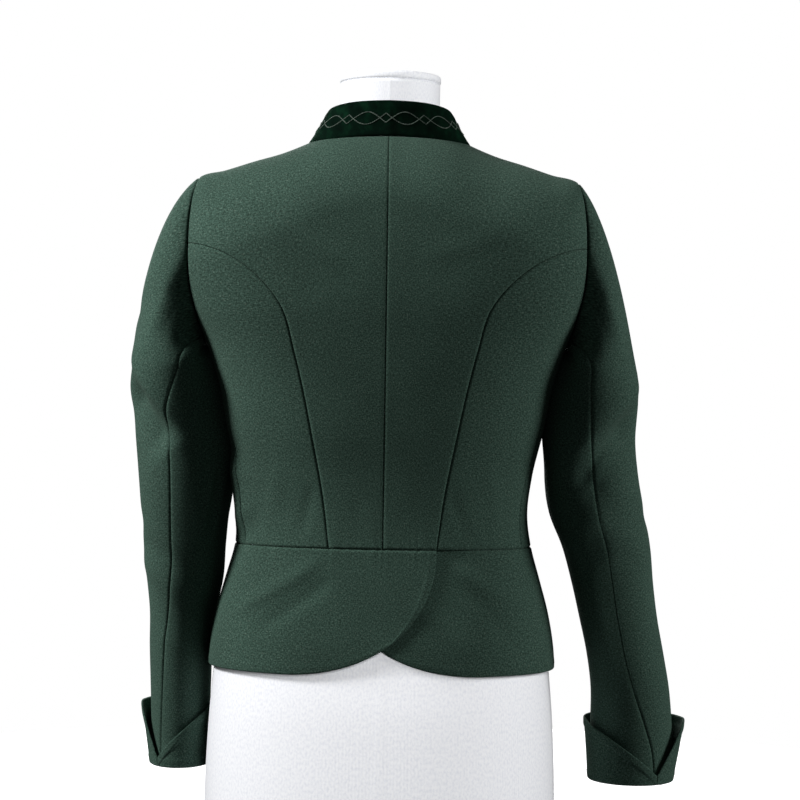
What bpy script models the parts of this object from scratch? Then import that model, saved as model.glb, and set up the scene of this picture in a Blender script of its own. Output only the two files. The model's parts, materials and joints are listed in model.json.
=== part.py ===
# Short folk jacket of mottled wool with a velvet stand collar, on a limbless dress form.
# Sizes are in millimetres and become metres in the meshes. The origin is the middle of
# the form's flat foot: +X is the wearer's left, +Y the back, +Z up.

import math

import bpy
import mathutils
import mathutils.bvhtree
import numpy as np

COLLECTION_NAME = "folk_jacket_on_dress_form"
METRES = 0.001

WOOL_WALL = 2.0
COLLAR_WALL = 2.6
SEAM_GAP = 0.3
LAP_DROP = WOOL_WALL + 1.2
LAP_TOP_DIP = 2.0
# Points this close are one seam point; the shift keeps round sizes off the cell borders.
SAME_POINT = 0.02
SAME_POINT_SHIFT = 0.318
# Where pieces meet at a sharp angle, the wall's corner is lengthened at most this much.
STEEPEST_LEAN = 0.7

WAIST_Z = 306.0
HEM_Z = 185.5
UNDERARM_Z = 505.0
RIDGE_Y = -8.0
RIDGE_ROUNDING = 90.0
FORM_RIDGE_DROP = WOOL_WALL + 0.75
FORM_RIDGE_POWER = 1.3
NECK_HALF_WIDTH = 82.0
NECK_BACK_Z = 708.0
NECK_FRONT_Z = 655.0
FRONT_LAP = 18.0

# Each ring of the jacket's outer face: height, half width, depth to the back, depth to the
# front, and how square the ring is (2 is an ellipse).
BODY_RINGS = (
    (180, 173.0, 114, 113, 2.15),
    (205, 171.5, 112, 112, 2.15),
    (240, 165.5, 106, 107, 2.15),
    (275, 156.0, 100, 101, 2.15),
    (306, 147.5, 95, 97, 2.15),
    (335, 143.5, 93, 98, 2.15),
    (375, 147.5, 94, 104, 2.20),
    (420, 158.0, 99, 115, 2.25),
    (465, 167.0, 103, 126, 2.30),
    (505, 179.5, 106, 130, 2.40),
    (540, 195.0, 108, 128, 2.50),
    (580, 204.5, 107, 118, 2.60),
    (620, 206.0, 104, 100, 2.60),
    (660, 206.0, 99, 80, 2.60),
    (710, 206.0, 90, 62, 2.60),
    (740, 206.0, 84, 56, 2.60),
)

# Height of the shoulder ridge at each distance from the middle.
RIDGE = (
    (0, 730), (40, 723), (60, 716), (82, 705), (105, 695.5), (135, 686.5),
    (163, 677.5), (190, 670), (198, 664), (206, 652),
)

# Seam lines as (distance from the middle, height).
ARMHOLE_BACK = (
    (190, 670), (193.5, 655), (196, 630), (196.5, 602), (196, 580),
    (193.5, 556), (189, 537), (184.5, 520), (181, 510), (179.5, 505),
)
ARMHOLE_FRONT = (
    (190, 670), (184, 652), (179, 625), (176.5, 598), (176.5, 566),
    (177.5, 536), (178.5, 516), (179.5, 505),
)
PRINCESS_BACK = (
    (196.5, 601), (181, 598), (157, 589), (127, 569), (101.5, 539), (88, 495),
    (77.5, 452), (71, 420), (58, 352), (52, 306),
)
PRINCESS_FRONT = (
    (176.5, 598), (158, 594), (134, 577), (110, 546), (96, 508), (88, 455),
    (80, 400), (74, 350), (71, 306),
)
# The side seam as (height, turn in degrees from straight sideways towards the back).
SIDE_SEAM = ((505, 0), (470, 6), (420, 11), (360, 14), (306, 16))

# How many spaces each seam is divided into; pieces that meet share these divisions.
NECK_SPACES = 5
SHOULDER_SPACES = 5
ARMHOLE_TIP_SPACES = 5
ARMHOLE_LOW_SPACES = 6
LONG_SEAM_SPACES = 12
SIDE_PANEL_SPACES = 6
PEPLUM_ROWS = 6
CORNER_FADE = 3.5
# Points on a seam before it is divided.
DENSE = 200

# The peplum's rounded back corner: reach across, height of the round, how square it is.
TULIP_REACH = 151.0
TULIP_HEIGHT = WAIST_Z - HEM_Z
TULIP_SQUARENESS = 2.2

# The collar's upper edge as (share of the way from back to front, height).
COLLAR_TOP = ((0, 743.5), (0.25, 742), (0.5, 735.5), (0.75, 714), (1, 690))
COLLAR_TOP_HALF_WIDTH = 62.0
COLLAR_TOP_MIDDLE_Y = -6.0
COLLAR_TOP_HALF_DEPTH = 56.0
COLLAR_ROWS = 3

# Sleeve rings from upper arm to wrist: height, outer edge, inner edge, middle from front
# to back, half depth, and the turn in degrees of the hind seam from straight outwards.
LEFT_SLEEVE_RINGS = (
    (480, 254.0, 174.5, -8, 62, 104),
    (466, 255.5, 169.2, -8, 61, 96),
    (450, 255.5, 165.3, -8, 60, 88),
    (434, 253.5, 162.2, -8, 59, 82),
    (416, 251.0, 159.3, -8, 58, 80),
    (396, 248.5, 157.5, -8, 57, 80),
    (370, 246.0, 158.0, -8, 56, 80),
    (340, 243.5, 158.5, -9, 55, 79),
    (305, 240.5, 158.5, -12, 53, 77),
    (270, 237.5, 160.5, -18, 52, 75),
    (235, 234.5, 167.5, -24, 50, 71),
    (200, 234.5, 171.5, -28, 49, 66),
    (165, 233.5, 172.5, -31, 47, 61),
    (130, 232.5, 173.5, -34, 46, 57),
    (105, 232.0, 174.0, -36, 45, 55),
    (82, 231.0, 174.5, -37, 45, 54),
)
RIGHT_SLEEVE_RINGS = (
    (480, 251.0, 174.5, -8, 62, 104),
    (466, 252.5, 169.2, -8, 61, 102),
    (450, 253.0, 165.3, -8, 60, 99),
    (434, 252.0, 162.2, -8, 59, 96),
    (416, 251.5, 160.3, -8, 58, 94),
    (396, 252.5, 160.0, -8, 57, 93),
    (370, 255.5, 161.0, -7, 56, 93),
    (340, 261.5, 165.5, -6, 54, 93),
    (305, 267.5, 179.5, -6, 53, 94),
    (270, 271.0, 189.5, -8, 51, 95),
    (235, 276.0, 198.0, -11, 50, 96),
    (200, 283.0, 206.0, -14, 49, 96),
    (165, 289.5, 211.0, -17, 47, 90),
    (130, 293.0, 211.5, -19, 46, 76),
    (105, 294.0, 212.0, -20, 45, 66),
    (74, 293.0, 212.5, -21, 45, 60),
)
FORE_SEAM_TURN = 240.0
CAP_ROWS = 7
# Columns of the under sleeve in each space of the armhole, and the sleeves' deeper seam gap.
UNDER_SLEEVE_FINER = 3
ARMHOLE_EXTRA_GAP = 0.12

# How the sleeve head leaves the armhole and reaches the first ring: for the tip, the back,
# the underarm and the front, the run sideways, backwards and up at the armhole, then the
# run sideways and up at the ring.
LEFT_CAP_TIP = (125.0, 0.0, -88.0, 8.0, -215.0)
RIGHT_CAP_TIP = (85.0, 0.0, -88.0, 45.0, -215.0)
CAP_BACK = (62.0, 30.0, -45.0, 0.0, -130.0)
CAP_UNDER = (17.0, 0.0, -8.0, 0.0, -30.0)
CAP_FRONT = (78.0, -18.0, -45.0, 0.0, -130.0)

# A sleeve's folds are measured on a tube of this radius; each one fades in and out over
# this share of its length, and all of them fade in over this share of the sleeve head.
FOLD_TUBE_RADIUS = 50.0
FOLD_END_SHARE = 0.3
FOLD_ONSET_SHARE = 0.6

# The sleeves' largest folds, one row each: turn and height where the fold starts, turn and
# height where it ends, its half width and how far it stands out (less than 0 sinks in).
LEFT_SLEEVE_FOLDS = (
    (-20, 496, 96, 436, 9, 4.5),
    (-10, 476, 90, 420, 10, -4.5),
    (20, 300, 150, 262, 14, -2.5),
    (250, 470, 350, 420, 12, 3.5),
)
RIGHT_SLEEVE_FOLDS = (
    (-20, 492, 150, 372, 10, 5.5),
    (-15, 470, 110, 402, 10, -6.5),
    (60, 330, 165, 292, 13, 3.0),
    (250, 470, 350, 420, 12, 3.5),
)

# Turned-back cuffs.
CUFF_HEIGHT = 62.0
CUFF_NOTCH_HEIGHT = 9.0
CUFF_DROP = 2.0
CUFF_WALL = 2.4
CUFF_STAND_OFF = CUFF_WALL + SEAM_GAP + 0.5
CUFF_FLARE_POWER = 1.3
CUFF_SPACES = 22
CUFF_ROWS = 4
CUFF_OUTER_SPAN = 62.0
CUFF_INNER_SPAN = 125.0
LEFT_CUFF_FLARE = (6.0, 0.3)
RIGHT_CUFF_FLARE = (9.0, 3.5)

# Pieces that are thicker than plain wool.
THICKER_WALLS = {"collar": COLLAR_WALL, "cuff_left": CUFF_WALL, "cuff_right": CUFF_WALL}
# The covered part of a lapping piece starts this far inside the edge above it and is at
# full depth this far in.
LAP_NONE_INSIDE = 44.0
LAP_FULL_INSIDE = 4.0

# Horn buttons down the front.
BUTTON_COUNT = 7
BUTTON_TOP_Z = 640.0
BUTTON_BOTTOM_Z = 330.0
BUTTON_RADIUS = 9.5
BUTTON_THICKNESS = 4.6
BUTTON_SIDES = 14
# A button is looked at from this far out to find the cloth below it.
BUTTON_SIGHT = 20.0
# The button's outline as (share of its radius, share of its thickness).
BUTTON_PROFILE = ((0.86, 0.0), (1.0, 0.35), (0.9, 0.8), (0.55, 1.0))

# The dress form below the jacket: height, half width, depth back, depth front, squareness.
FORM_HIP_RINGS = (
    (0, 171.5, 111.5, 110.0, 2.15),
    (4, 174.5, 114.5, 113.0, 2.15),
    (50, 174.5, 115.0, 113.0, 2.15),
    (100, 173.0, 114.0, 112.5, 2.15),
    (150, 170.0, 111.5, 110.5, 2.15),
    (185, 166.8, 107.5, 107.0, 2.15),
)
# How far the form's skin lies inside the jacket's outer face, by height.
# The last column is the ease at the sides.
FORM_EASE = (
    (205, 6.5, 6.5), (306, 7.5, 7.5), (420, 8.0, 8.0), (505, 8.0, 8.5), (560, 8.5, 14.0),
    (620, 9.0, 20.0), (740, 9.0, 20.0),
)
FORM_RING_HEIGHTS = (
    0, 4, 50, 100, 150, 185, 215, 245, 280, 310, 345, 385, 430, 475, 520, 560, 598, 625,
    643, 654, 662, 668, 674, 680, 686, 692, 699, 707, 716, 726, 738, 752, 766,
)
FORM_SIDES = 30
NECK_TOP_Z = 766.0
NECK_BLEND = (674.0, 732.0)
FORM_NECK_HALF_WIDTH = 50.0
FORM_NECK_HALF_DEPTH = 51.0
FORM_NECK_MIDDLE_Y = -9.0
CAP_DISC_HEIGHT = 8.0
CAP_DISC_OVERHANG = 0.8


def clear_scene():
    for item in list(bpy.data.objects):
        bpy.data.objects.remove(item, do_unlink=True)


def new_material(name, colour, roughness, metallic=0.0):
    material = bpy.data.materials.new(name)
    material.use_nodes = True
    shader = material.node_tree.nodes["Principled BSDF"]
    shader.inputs["Base Color"].default_value = (*colour, 1.0)
    shader.inputs["Roughness"].default_value = roughness
    shader.inputs["Metallic"].default_value = metallic
    material.diffuse_color = (*colour, 1.0)
    return material


def smooth_step(share):
    share = np.clip(share, 0.0, 1.0)
    return share * share * (3.0 - 2.0 * share)


def table_column(table, column, at):
    """Cubic through one column of a table, its slope at each row taken from the neighbours."""
    rows = np.array(table, float)
    stops = rows[:, 0]
    values = rows[:, column]
    slopes = np.gradient(values, stops)
    at = np.clip(np.asarray(at, float), stops[0], stops[-1])
    k = np.clip(np.searchsorted(stops, at) - 1, 0, len(stops) - 2)
    width = stops[k + 1] - stops[k]
    t = (at - stops[k]) / width
    start = values[k] * (2 * t**3 - 3 * t**2 + 1) + slopes[k] * width * (t**3 - 2 * t**2 + t)
    end = values[k + 1] * (3 * t**2 - 2 * t**3) + slopes[k + 1] * width * (t**3 - t**2)
    return start + end


def path_through(points, count):
    """Many points on a smooth path through a few, stepping by the distance between them."""
    points = np.array(points, float)
    steps = np.linalg.norm(np.diff(points, axis=0), axis=1)
    along = np.concatenate(([0.0], np.cumsum(steps)))
    table = np.column_stack((along, points))
    at = np.linspace(0.0, along[-1], count)
    return np.column_stack([table_column(table, c + 1, at) for c in range(points.shape[1])])


def ring_sizes(z):
    return [table_column(BODY_RINGS, column, z) for column in (1, 2, 3, 4)]


def ridge_height(x):
    return table_column(RIDGE, 1, np.abs(x))


def shoulder_share(x, z, drop=0.0):
    """0 on the shoulder ridge, rounding over to 1 a little way below it."""
    below = np.clip((ridge_height(x) - drop - z) / RIDGE_ROUNDING, 0.0, 1.0)
    return np.sqrt(1.0 - (1.0 - below) ** 2)


def body_point(turn, z):
    """The jacket's outer face at a turn (radians from +X towards the back) and a height."""
    turn, z = np.broadcast_arrays(np.asarray(turn, float), np.asarray(z, float))
    half, back, front, square = ring_sizes(z)
    across = np.abs(np.cos(turn)) / half
    deep = np.abs(np.sin(turn)) / np.where(np.sin(turn) >= 0, back, front)
    reach = (across**square + deep**square) ** (-1.0 / square)
    x = reach * np.cos(turn)
    y = reach * np.sin(turn)
    y = RIDGE_Y + (y - RIDGE_Y) * shoulder_share(x, z)
    return np.stack((x, y, z), axis=-1)


def turn_at(x, z, face):
    """The turn whose point on the back (face 1) or the front (face -1) lies at x."""
    half, back, front, square = ring_sizes(z)
    depth = back if face > 0 else front
    share = np.clip(1.0 - (np.abs(x) / half) ** square, 0.0, 1.0)
    return np.arctan2(face * depth * share ** (1.0 / square), x)


def face_line(points, face):
    """Turns and heights of a seam that is given as (distance from the middle, height)."""
    points = np.asarray(points, float)
    return np.column_stack((turn_at(points[:, 0], points[:, 1], face), points[:, 1]))


def spaced_along(line, spaces):
    """Divides a dense line of turns and heights into equal lengths on the jacket."""
    steps = np.linalg.norm(np.diff(body_point(line[:, 0], line[:, 1]), axis=0), axis=1)
    along = np.concatenate(([0.0], np.cumsum(steps)))
    at = np.linspace(0.0, along[-1], spaces + 1)
    return np.column_stack([np.interp(at, along, line[:, c]) for c in (0, 1)])


def run_down(x, z):
    """Length from the ridge down the rounded shoulder to a height."""
    drop = np.maximum(ridge_height(x) - z, 0.0)
    rounded = RIDGE_ROUNDING * np.arccos(1.0 - np.minimum(drop / RIDGE_ROUNDING, 1.0))
    return rounded + np.maximum(drop - RIDGE_ROUNDING, 0.0)


def height_at_run(x, run):
    quarter = RIDGE_ROUNDING * math.pi / 2
    rounded = RIDGE_ROUNDING * (1.0 - np.cos(np.minimum(run, quarter) / RIDGE_ROUNDING))
    return ridge_height(x) - rounded - np.maximum(run - quarter, 0.0)


def fill_between(top, bottom, start, end):
    """Grid between four edges: rows run from top to bottom, columns from start to end."""
    u = np.linspace(0.0, 1.0, len(top))[None, :, None]
    v = np.linspace(0.0, 1.0, len(start))[:, None, None]
    rows = (1 - v) * top[None] + v * bottom[None]
    columns = (1 - u) * start[:, None] + u * end[:, None]
    corners = (1 - u) * (1 - v) * top[0] + u * (1 - v) * top[-1]
    corners = corners + (1 - u) * v * bottom[0] + u * v * bottom[-1]
    return rows + columns - corners


def panel_by_turn(top, bottom, start, end):
    grid = fill_between(top, bottom, start, end)
    return body_point(grid[..., 0], grid[..., 1])


def panel_by_run(edges, face):
    """A panel whose top reaches the shoulder, filled in by distance and length run down.

    The neckline's corner stays near the top: lower rows follow a straight top instead.
    """
    flat = []
    for edge in edges:
        x = body_point(edge[:, 0], edge[:, 1])[:, 0]
        flat.append(np.column_stack((x, run_down(x, edge[:, 1]))))
    top, bottom, start, end = flat
    share = ((bottom[:, 0] - bottom[0, 0]) / (bottom[-1, 0] - bottom[0, 0]))[:, None]
    straight = top[0] + (top[-1] - top[0]) * share
    fade = np.linspace(1.0, 0.0, len(start))[:, None, None] ** CORNER_FADE
    grid = fill_between(straight, bottom, start, end) + (top - straight)[None] * fade
    x = grid[..., 0]
    z = height_at_run(x, grid[..., 1])
    return body_point(turn_at(x, z, face), z)


def joined(*lines):
    """Lines that share their ends become one."""
    parts = [lines[0]]
    for line in lines[1:]:
        parts.append(line[1:])
    return np.concatenate(parts)


def seam_lines():
    """Every seam of the wearer's left half, divided into its spaces."""
    seams = {}
    add_middle_seams(seams)
    add_neck_seams(seams)
    add_armhole_seams(seams)
    add_waist_seams(seams)
    return seams


def add_middle_seams(seams):
    """The centre back, and the front edge that laps past the middle."""
    rows = ARMHOLE_TIP_SPACES + LONG_SEAM_SPACES
    z = np.linspace(NECK_BACK_Z, WAIST_Z, DENSE)
    seams["centre_back"] = spaced_along(np.column_stack((np.full(DENSE, math.pi / 2), z)), rows)
    z = np.linspace(NECK_FRONT_Z, WAIST_Z, DENSE)
    edge = face_line(np.column_stack((np.full(DENSE, -FRONT_LAP), z)), -1)
    seams["front_edge"] = spaced_along(edge, rows)


def add_neck_seams(seams):
    """The neckline, shallow at the back and round at the front, and the shoulder seam."""
    x = np.linspace(0.0, NECK_HALF_WIDTH, DENSE)
    neck_z = NECK_BACK_Z - (NECK_BACK_Z - ridge_height(NECK_HALF_WIDTH)) * (x / NECK_HALF_WIDTH) ** 2
    seams["neck_back"] = spaced_along(face_line(np.column_stack((x, neck_z)), 1), NECK_SPACES)

    angle = np.linspace(0.0, math.pi / 2, DENSE)
    x = NECK_HALF_WIDTH * np.cos(angle)
    rise = ridge_height(NECK_HALF_WIDTH) - NECK_FRONT_Z
    neck_z = NECK_FRONT_Z + rise * (1.0 - np.sin(angle))
    seams["neck_front"] = spaced_along(face_line(np.column_stack((x, neck_z)), -1), NECK_SPACES)
    lap_turn = turn_at(-FRONT_LAP, NECK_FRONT_Z, -1)
    lap = np.array([seams["neck_front"][-1], [lap_turn, NECK_FRONT_Z]])
    lap[:, 0] = np.where(lap[:, 0] > 0, lap[:, 0] - 2 * math.pi, lap[:, 0])
    seams["neck_lap"] = lap

    x = np.linspace(NECK_HALF_WIDTH, ARMHOLE_BACK[0][0], SHOULDER_SPACES + 1)
    ridge = np.column_stack((x, ridge_height(x)))
    for name, face in (("shoulder_back", 1), ("shoulder_front", -1)):
        seams[name] = face_line(ridge, face)


def add_armhole_seams(seams):
    """The armhole, split where the princess seam runs in, and the seams that start from it."""
    for name, armhole, princess, face in (
        ("back", ARMHOLE_BACK, PRINCESS_BACK, 1), ("front", ARMHOLE_FRONT, PRINCESS_FRONT, -1),
    ):
        line = face_line(path_through(armhole, DENSE), face)
        split = int(np.argmin(np.abs(line[:, 1] - princess[0][1])))
        seams["armhole_tip_" + name] = spaced_along(line[: split + 1], ARMHOLE_TIP_SPACES)
        seams["armhole_low_" + name] = spaced_along(line[split:], ARMHOLE_LOW_SPACES)
        seams["armhole_low_" + name][-1] = (0.0, UNDERARM_Z)
        line = face_line(path_through(princess, DENSE), face)
        line[0] = seams["armhole_tip_" + name][-1]
        seams["princess_" + name] = spaced_along(line, LONG_SEAM_SPACES)
    z = np.linspace(UNDERARM_Z, WAIST_Z, DENSE)
    heights, turns = zip(*SIDE_SEAM[::-1])
    turn = np.radians(np.interp(z, heights, turns))
    seams["side"] = spaced_along(np.column_stack((turn, z)), LONG_SEAM_SPACES)


def add_waist_seams(seams):
    """The level waist seam, one stretch for each piece that ends on it."""
    corners = (
        math.pi / 2, seams["princess_back"][-1][0], seams["side"][-1][0],
        seams["princess_front"][-1][0], -math.pi / 2,
    )
    wide = NECK_SPACES + SHOULDER_SPACES
    counts = (wide, SIDE_PANEL_SPACES, SIDE_PANEL_SPACES, wide)
    names = ("waist_back", "waist_side_back", "waist_side_front", "waist_front")
    for name, first, last, count in zip(names, corners, corners[1:], counts):
        turns = np.linspace(first, last, DENSE)
        line = np.column_stack((turns, np.full(DENSE, WAIST_Z)))
        seams[name] = spaced_along(line, count)
    lap_turn = turn_at(-FRONT_LAP, WAIST_Z, -1)
    lap = np.array([seams["waist_front"][-1], [lap_turn, WAIST_Z]])
    seams["waist_front"] = joined(seams["waist_front"], lap)


def left_panels(seams):
    """The bodice pieces of the wearer's left half."""
    panels = {}
    panels["back"] = panel_by_run((
        joined(seams["neck_back"], seams["shoulder_back"]),
        seams["waist_back"],
        seams["centre_back"],
        joined(seams["armhole_tip_back"], seams["princess_back"]),
    ), 1)
    panels["side_back"] = panel_by_turn(
        seams["armhole_low_back"], seams["waist_side_back"],
        seams["princess_back"], seams["side"],
    )
    panels["side_front"] = panel_by_turn(
        seams["armhole_low_front"][::-1], seams["waist_side_front"],
        seams["side"], seams["princess_front"],
    )
    top = joined(seams["shoulder_front"][::-1], seams["neck_front"], seams["neck_lap"])
    panels["front"] = panel_by_run((
        top,
        seams["waist_front"],
        joined(seams["armhole_tip_front"], seams["princess_front"]),
        seams["front_edge"],
    ), -1)
    return panels


def mirrored(grid):
    """The wearer's right piece: x changes sign and the columns run the other way."""
    return (grid * np.array([-1.0, 1.0, 1.0]))[:, ::-1]


def lapped_under(grid, full_at, none_at, face):
    """Sinks the part of a piece that another one covers, easing in from none_at to full_at."""
    share = smooth_step((grid[..., 0] - none_at) / (full_at - none_at))
    share = share * (grid[..., 1] * face > 0)
    normal = corner_normals(grid)
    normal = normal / np.linalg.norm(normal, axis=-1)[..., None]
    sunk = grid - normal * (LAP_DROP * share)[..., None]
    sunk[..., 2] = np.where(share > 0, grid[..., 2], sunk[..., 2])
    sunk[0, :, 2] -= LAP_TOP_DIP * share[0]
    return sunk


def peplum_grid(seams):
    """The left peplum: from its rounded back corner past the side to the front edge."""
    back = seams["waist_back"]
    across = back[::-1].copy()
    across[:, 0] = math.pi - across[:, 0]
    top = joined(
        across, back, seams["waist_side_back"], seams["waist_side_front"], seams["waist_front"],
    )
    start_x = body_point(top[0, 0], WAIST_Z)[0]
    flat_x = start_x + TULIP_REACH
    flat_turn = turn_at(flat_x, HEM_Z, 1)
    power = 2.0 / TULIP_SQUARENESS

    def round_line(angle):
        x = flat_x - TULIP_REACH * np.cos(angle) ** power
        z = WAIST_Z - TULIP_HEIGHT * np.sin(angle) ** power
        return face_line(np.column_stack((x, z)), 1)

    start = round_line(np.linspace(0.0, math.pi / 4, PEPLUM_ROWS + 1))
    start[0] = top[0]
    bottom = top.copy()
    bottom[:, 1] = HEM_Z
    rounded = top[:, 0] > flat_turn
    share = (top[0, 0] - top[rounded, 0]) / (top[0, 0] - flat_turn)
    bottom[rounded] = round_line(math.pi / 4 * (1.0 + share))
    end = np.column_stack((
        np.full(PEPLUM_ROWS + 1, top[-1, 0]), np.linspace(WAIST_Z, HEM_Z, PEPLUM_ROWS + 1),
    ))
    return panel_by_turn(top, bottom, start, end)


def collar_grid(seams):
    """A ruled band from the neckline up to the collar's top edge, from front to front."""
    half = joined(seams["neck_back"], seams["neck_front"])
    base = body_point(half[:, 0], half[:, 1])
    steps = np.linalg.norm(np.diff(base, axis=0), axis=1)
    share = np.concatenate(([0.0], np.cumsum(steps)))
    share = share / share[-1]
    angle = share * math.pi
    top = np.column_stack((
        COLLAR_TOP_HALF_WIDTH * np.sin(angle),
        COLLAR_TOP_MIDDLE_Y + COLLAR_TOP_HALF_DEPTH * np.cos(angle),
        table_column(COLLAR_TOP, 1, share),
    ))
    flip = np.array([-1.0, 1.0, 1.0])
    base = np.concatenate(((base * flip)[:0:-1], base))
    top = np.concatenate(((top * flip)[:0:-1], top))
    v = np.linspace(0.0, 1.0, COLLAR_ROWS + 1)[:, None, None]
    return (1 - v) * top[None] + v * base[None]


def fold_height(folds, turn, z):
    """How far the folds move the cloth at a turn (degrees) and a height."""
    arc = math.radians(1.0) * FOLD_TUBE_RADIUS
    moved = np.zeros(np.broadcast(turn, z).shape)
    for turn_a, z_a, turn_b, z_b, half_width, height in folds:
        run_x = (turn_b - turn_a) * arc
        run_z = z_b - z_a
        length = math.hypot(run_x, run_z)
        off_x = (np.mod(turn - turn_a + 120.0, 360.0) - 120.0) * arc
        off_z = z - z_a
        along = (off_x * run_x + off_z * run_z) / length**2
        aside = (off_x * run_z - off_z * run_x) / length
        ends = smooth_step(along / FOLD_END_SHARE) * smooth_step((1.0 - along) / FOLD_END_SHARE)
        moved += height * np.exp(-(aside / half_width) ** 2) * ends
    return moved


def tube_rings(rings, z, turn):
    """Points on a sleeve's rings at a height and a turn (degrees from straight outwards)."""
    rows = rings[::-1]
    outer, inner, middle, deep = [table_column(rows, c, z) for c in (1, 2, 3, 4)]
    angle = np.radians(turn)
    x = (outer + inner) / 2 + (outer - inner) / 2 * np.cos(angle)
    y = middle + deep * np.sin(angle)
    return np.stack(np.broadcast_arrays(x, y, z), axis=-1)


def sleeve_rows(rings, folds, cap_tip, armhole, role, first_turn, last_turn):
    """Rows of one sleeve piece: the head by a smooth run from the armhole, then the tube.

    A point's role is its angle round the armhole from the tip: it mixes the four runs.
    """
    share = np.linspace(0.0, 1.0, len(armhole))
    top_z = rings[0][0]

    def ring_row(z):
        turn = first_turn(z, share) * (1 - share) + last_turn(z, share) * share
        return turn, tube_rings(rings, np.full(len(share), float(z)), turn)

    turn, ring = ring_row(top_z)
    high = np.clip(np.cos(role), 0.0, 1.0)[:, None] ** 1.5
    low = np.clip(-np.cos(role), 0.0, 1.0)[:, None] ** 2
    back = np.clip(np.sin(role), 0.0, 1.0)[:, None]
    front = np.clip(-np.sin(role), 0.0, 1.0)[:, None]
    total = high + low + back + front
    mix = high * np.array(cap_tip) + low * CAP_UNDER + back * CAP_BACK + front * CAP_FRONT
    mix = mix / total
    leave = mix[:, :3]
    arrive = np.column_stack((mix[:, 3], np.zeros(len(role)), mix[:, 4]))
    rows = []
    for t in np.linspace(0.0, 1.0, CAP_ROWS + 1)[:-1]:
        point = armhole * (2 * t**3 - 3 * t**2 + 1) + leave * (t**3 - 2 * t**2 + t)
        point = point + ring * (3 * t**2 - 2 * t**3) + arrive * (t**3 - t**2)
        rows.append(folded(point, folds, turn, smooth_step(t / FOLD_ONSET_SHARE)))
    for ring_values in rings:
        turn, point = ring_row(ring_values[0])
        rows.append(folded(point, folds, turn, 1.0))
    return np.array(rows)


def folded(points, folds, turn, strength):
    moved = fold_height(folds, turn, points[:, 2]) * strength
    angle = np.radians(turn)
    outward = np.column_stack((np.cos(angle), np.sin(angle), np.zeros(len(turn))))
    return points + outward * moved[:, None]


def sleeve_grids(seams, rings, folds, cap_tip):
    """Top sleeve and under sleeve on the wearer's left side."""
    down = joined(seams["armhole_tip_back"], seams["armhole_low_back"])
    up = joined(seams["armhole_low_front"][::-1], seams["armhole_tip_front"][::-1])
    loop_turns = joined(down, up)
    loop = body_point(loop_turns[:, 0], loop_turns[:, 1])
    half = ARMHOLE_TIP_SPACES + ARMHOLE_LOW_SPACES
    hind = half - 1
    fore = half + 2
    role = np.linspace(0.0, 2 * math.pi, 2 * half + 1)
    rows = rings[::-1]

    def hind_turn(z, share):
        return np.full(len(share), table_column(rows, 5, z))

    tip_share = (2 * half - fore) / (2 * half - fore + hind)

    def front_part(z, share):
        return np.interp(share, (0, tip_share, 1), (FORE_SEAM_TURN - 360, 0, 0))

    order = np.concatenate((np.arange(fore, 2 * half), np.arange(0, hind + 1)))

    def top_turn(z, share):
        back_part = hind_turn(z, share) * (share - tip_share) / (1 - tip_share)
        return np.where(share < tip_share, front_part(z, share), back_part)

    top = sleeve_rows(rings, folds, cap_tip, loop[order], role[order], top_turn, top_turn)

    index = np.linspace(hind, fore, (fore - hind) * UNDER_SLEEVE_FINER + 1)
    places = np.arange(len(loop))
    under_loop = np.column_stack([np.interp(index, places, loop[:, c]) for c in range(3)])
    under_role = np.interp(index, np.arange(len(role)), role)

    def fore_turn(z, share):
        return np.full(len(share), FORE_SEAM_TURN)

    under = sleeve_rows(rings, folds, cap_tip, under_loop, under_role, hind_turn, fore_turn)
    return top[:, ::-1], under[:, ::-1]


def cuff_grid(rings, flare):
    """A turned-back band, low at the hind seam and rising both ways to its full height."""
    rows = rings[::-1]
    end_z = rings[-1][0]
    seam = rings[-1][5]
    order = np.linspace(0.0, 360.0, CUFF_SPACES + 1)
    turn = seam + order
    span_in = np.clip(order / CUFF_INNER_SPAN, 0.0, 1.0)
    span_out = np.clip((360.0 - order) / CUFF_OUTER_SPAN, 0.0, 1.0)
    rise = np.sin(math.pi / 2 * np.minimum(span_in, span_out))
    height = CUFF_NOTCH_HEIGHT + (CUFF_HEIGHT - CUFF_NOTCH_HEIGHT) * rise
    grid = []
    for share in np.linspace(1.0, 0.0, CUFF_ROWS + 1):
        z = end_z - CUFF_DROP + height * share
        sideways = (1.0 + np.cos(np.radians(turn))) / 2
        open_out = flare[1] + (flare[0] - flare[1]) * sideways
        out = CUFF_STAND_OFF + open_out * (height * share / CUFF_HEIGHT) ** CUFF_FLARE_POWER
        level = np.maximum(z, end_z)
        point = tube_rings(rings, level, turn)
        angle = np.radians(turn)
        half_across = (table_column(rows, 1, level) - table_column(rows, 2, level)) / 2
        half_deep = table_column(rows, 4, level)
        outward = np.column_stack((np.cos(angle) / half_across, np.sin(angle) / half_deep))
        outward = outward / np.linalg.norm(outward, axis=1)[:, None]
        point[:, :2] += outward * out[:, None]
        point[:, 2] = z
        grid.append(point)
    return np.array(grid)[:, ::-1]


def corner_normals(grid):
    """Each grid face's outward direction, added to its four corners."""
    one = grid[1:, 1:] - grid[:-1, :-1]
    two = grid[1:, :-1] - grid[:-1, 1:]
    face = np.cross(two, one) * -1.0
    total = np.zeros_like(grid)
    total[:-1, :-1] += face
    total[1:, :-1] += face
    total[:-1, 1:] += face
    total[1:, 1:] += face
    return total


def family_of(name):
    for family in ("sleeve", "collar"):
        if family in name:
            return family
    return "bodice"


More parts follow.
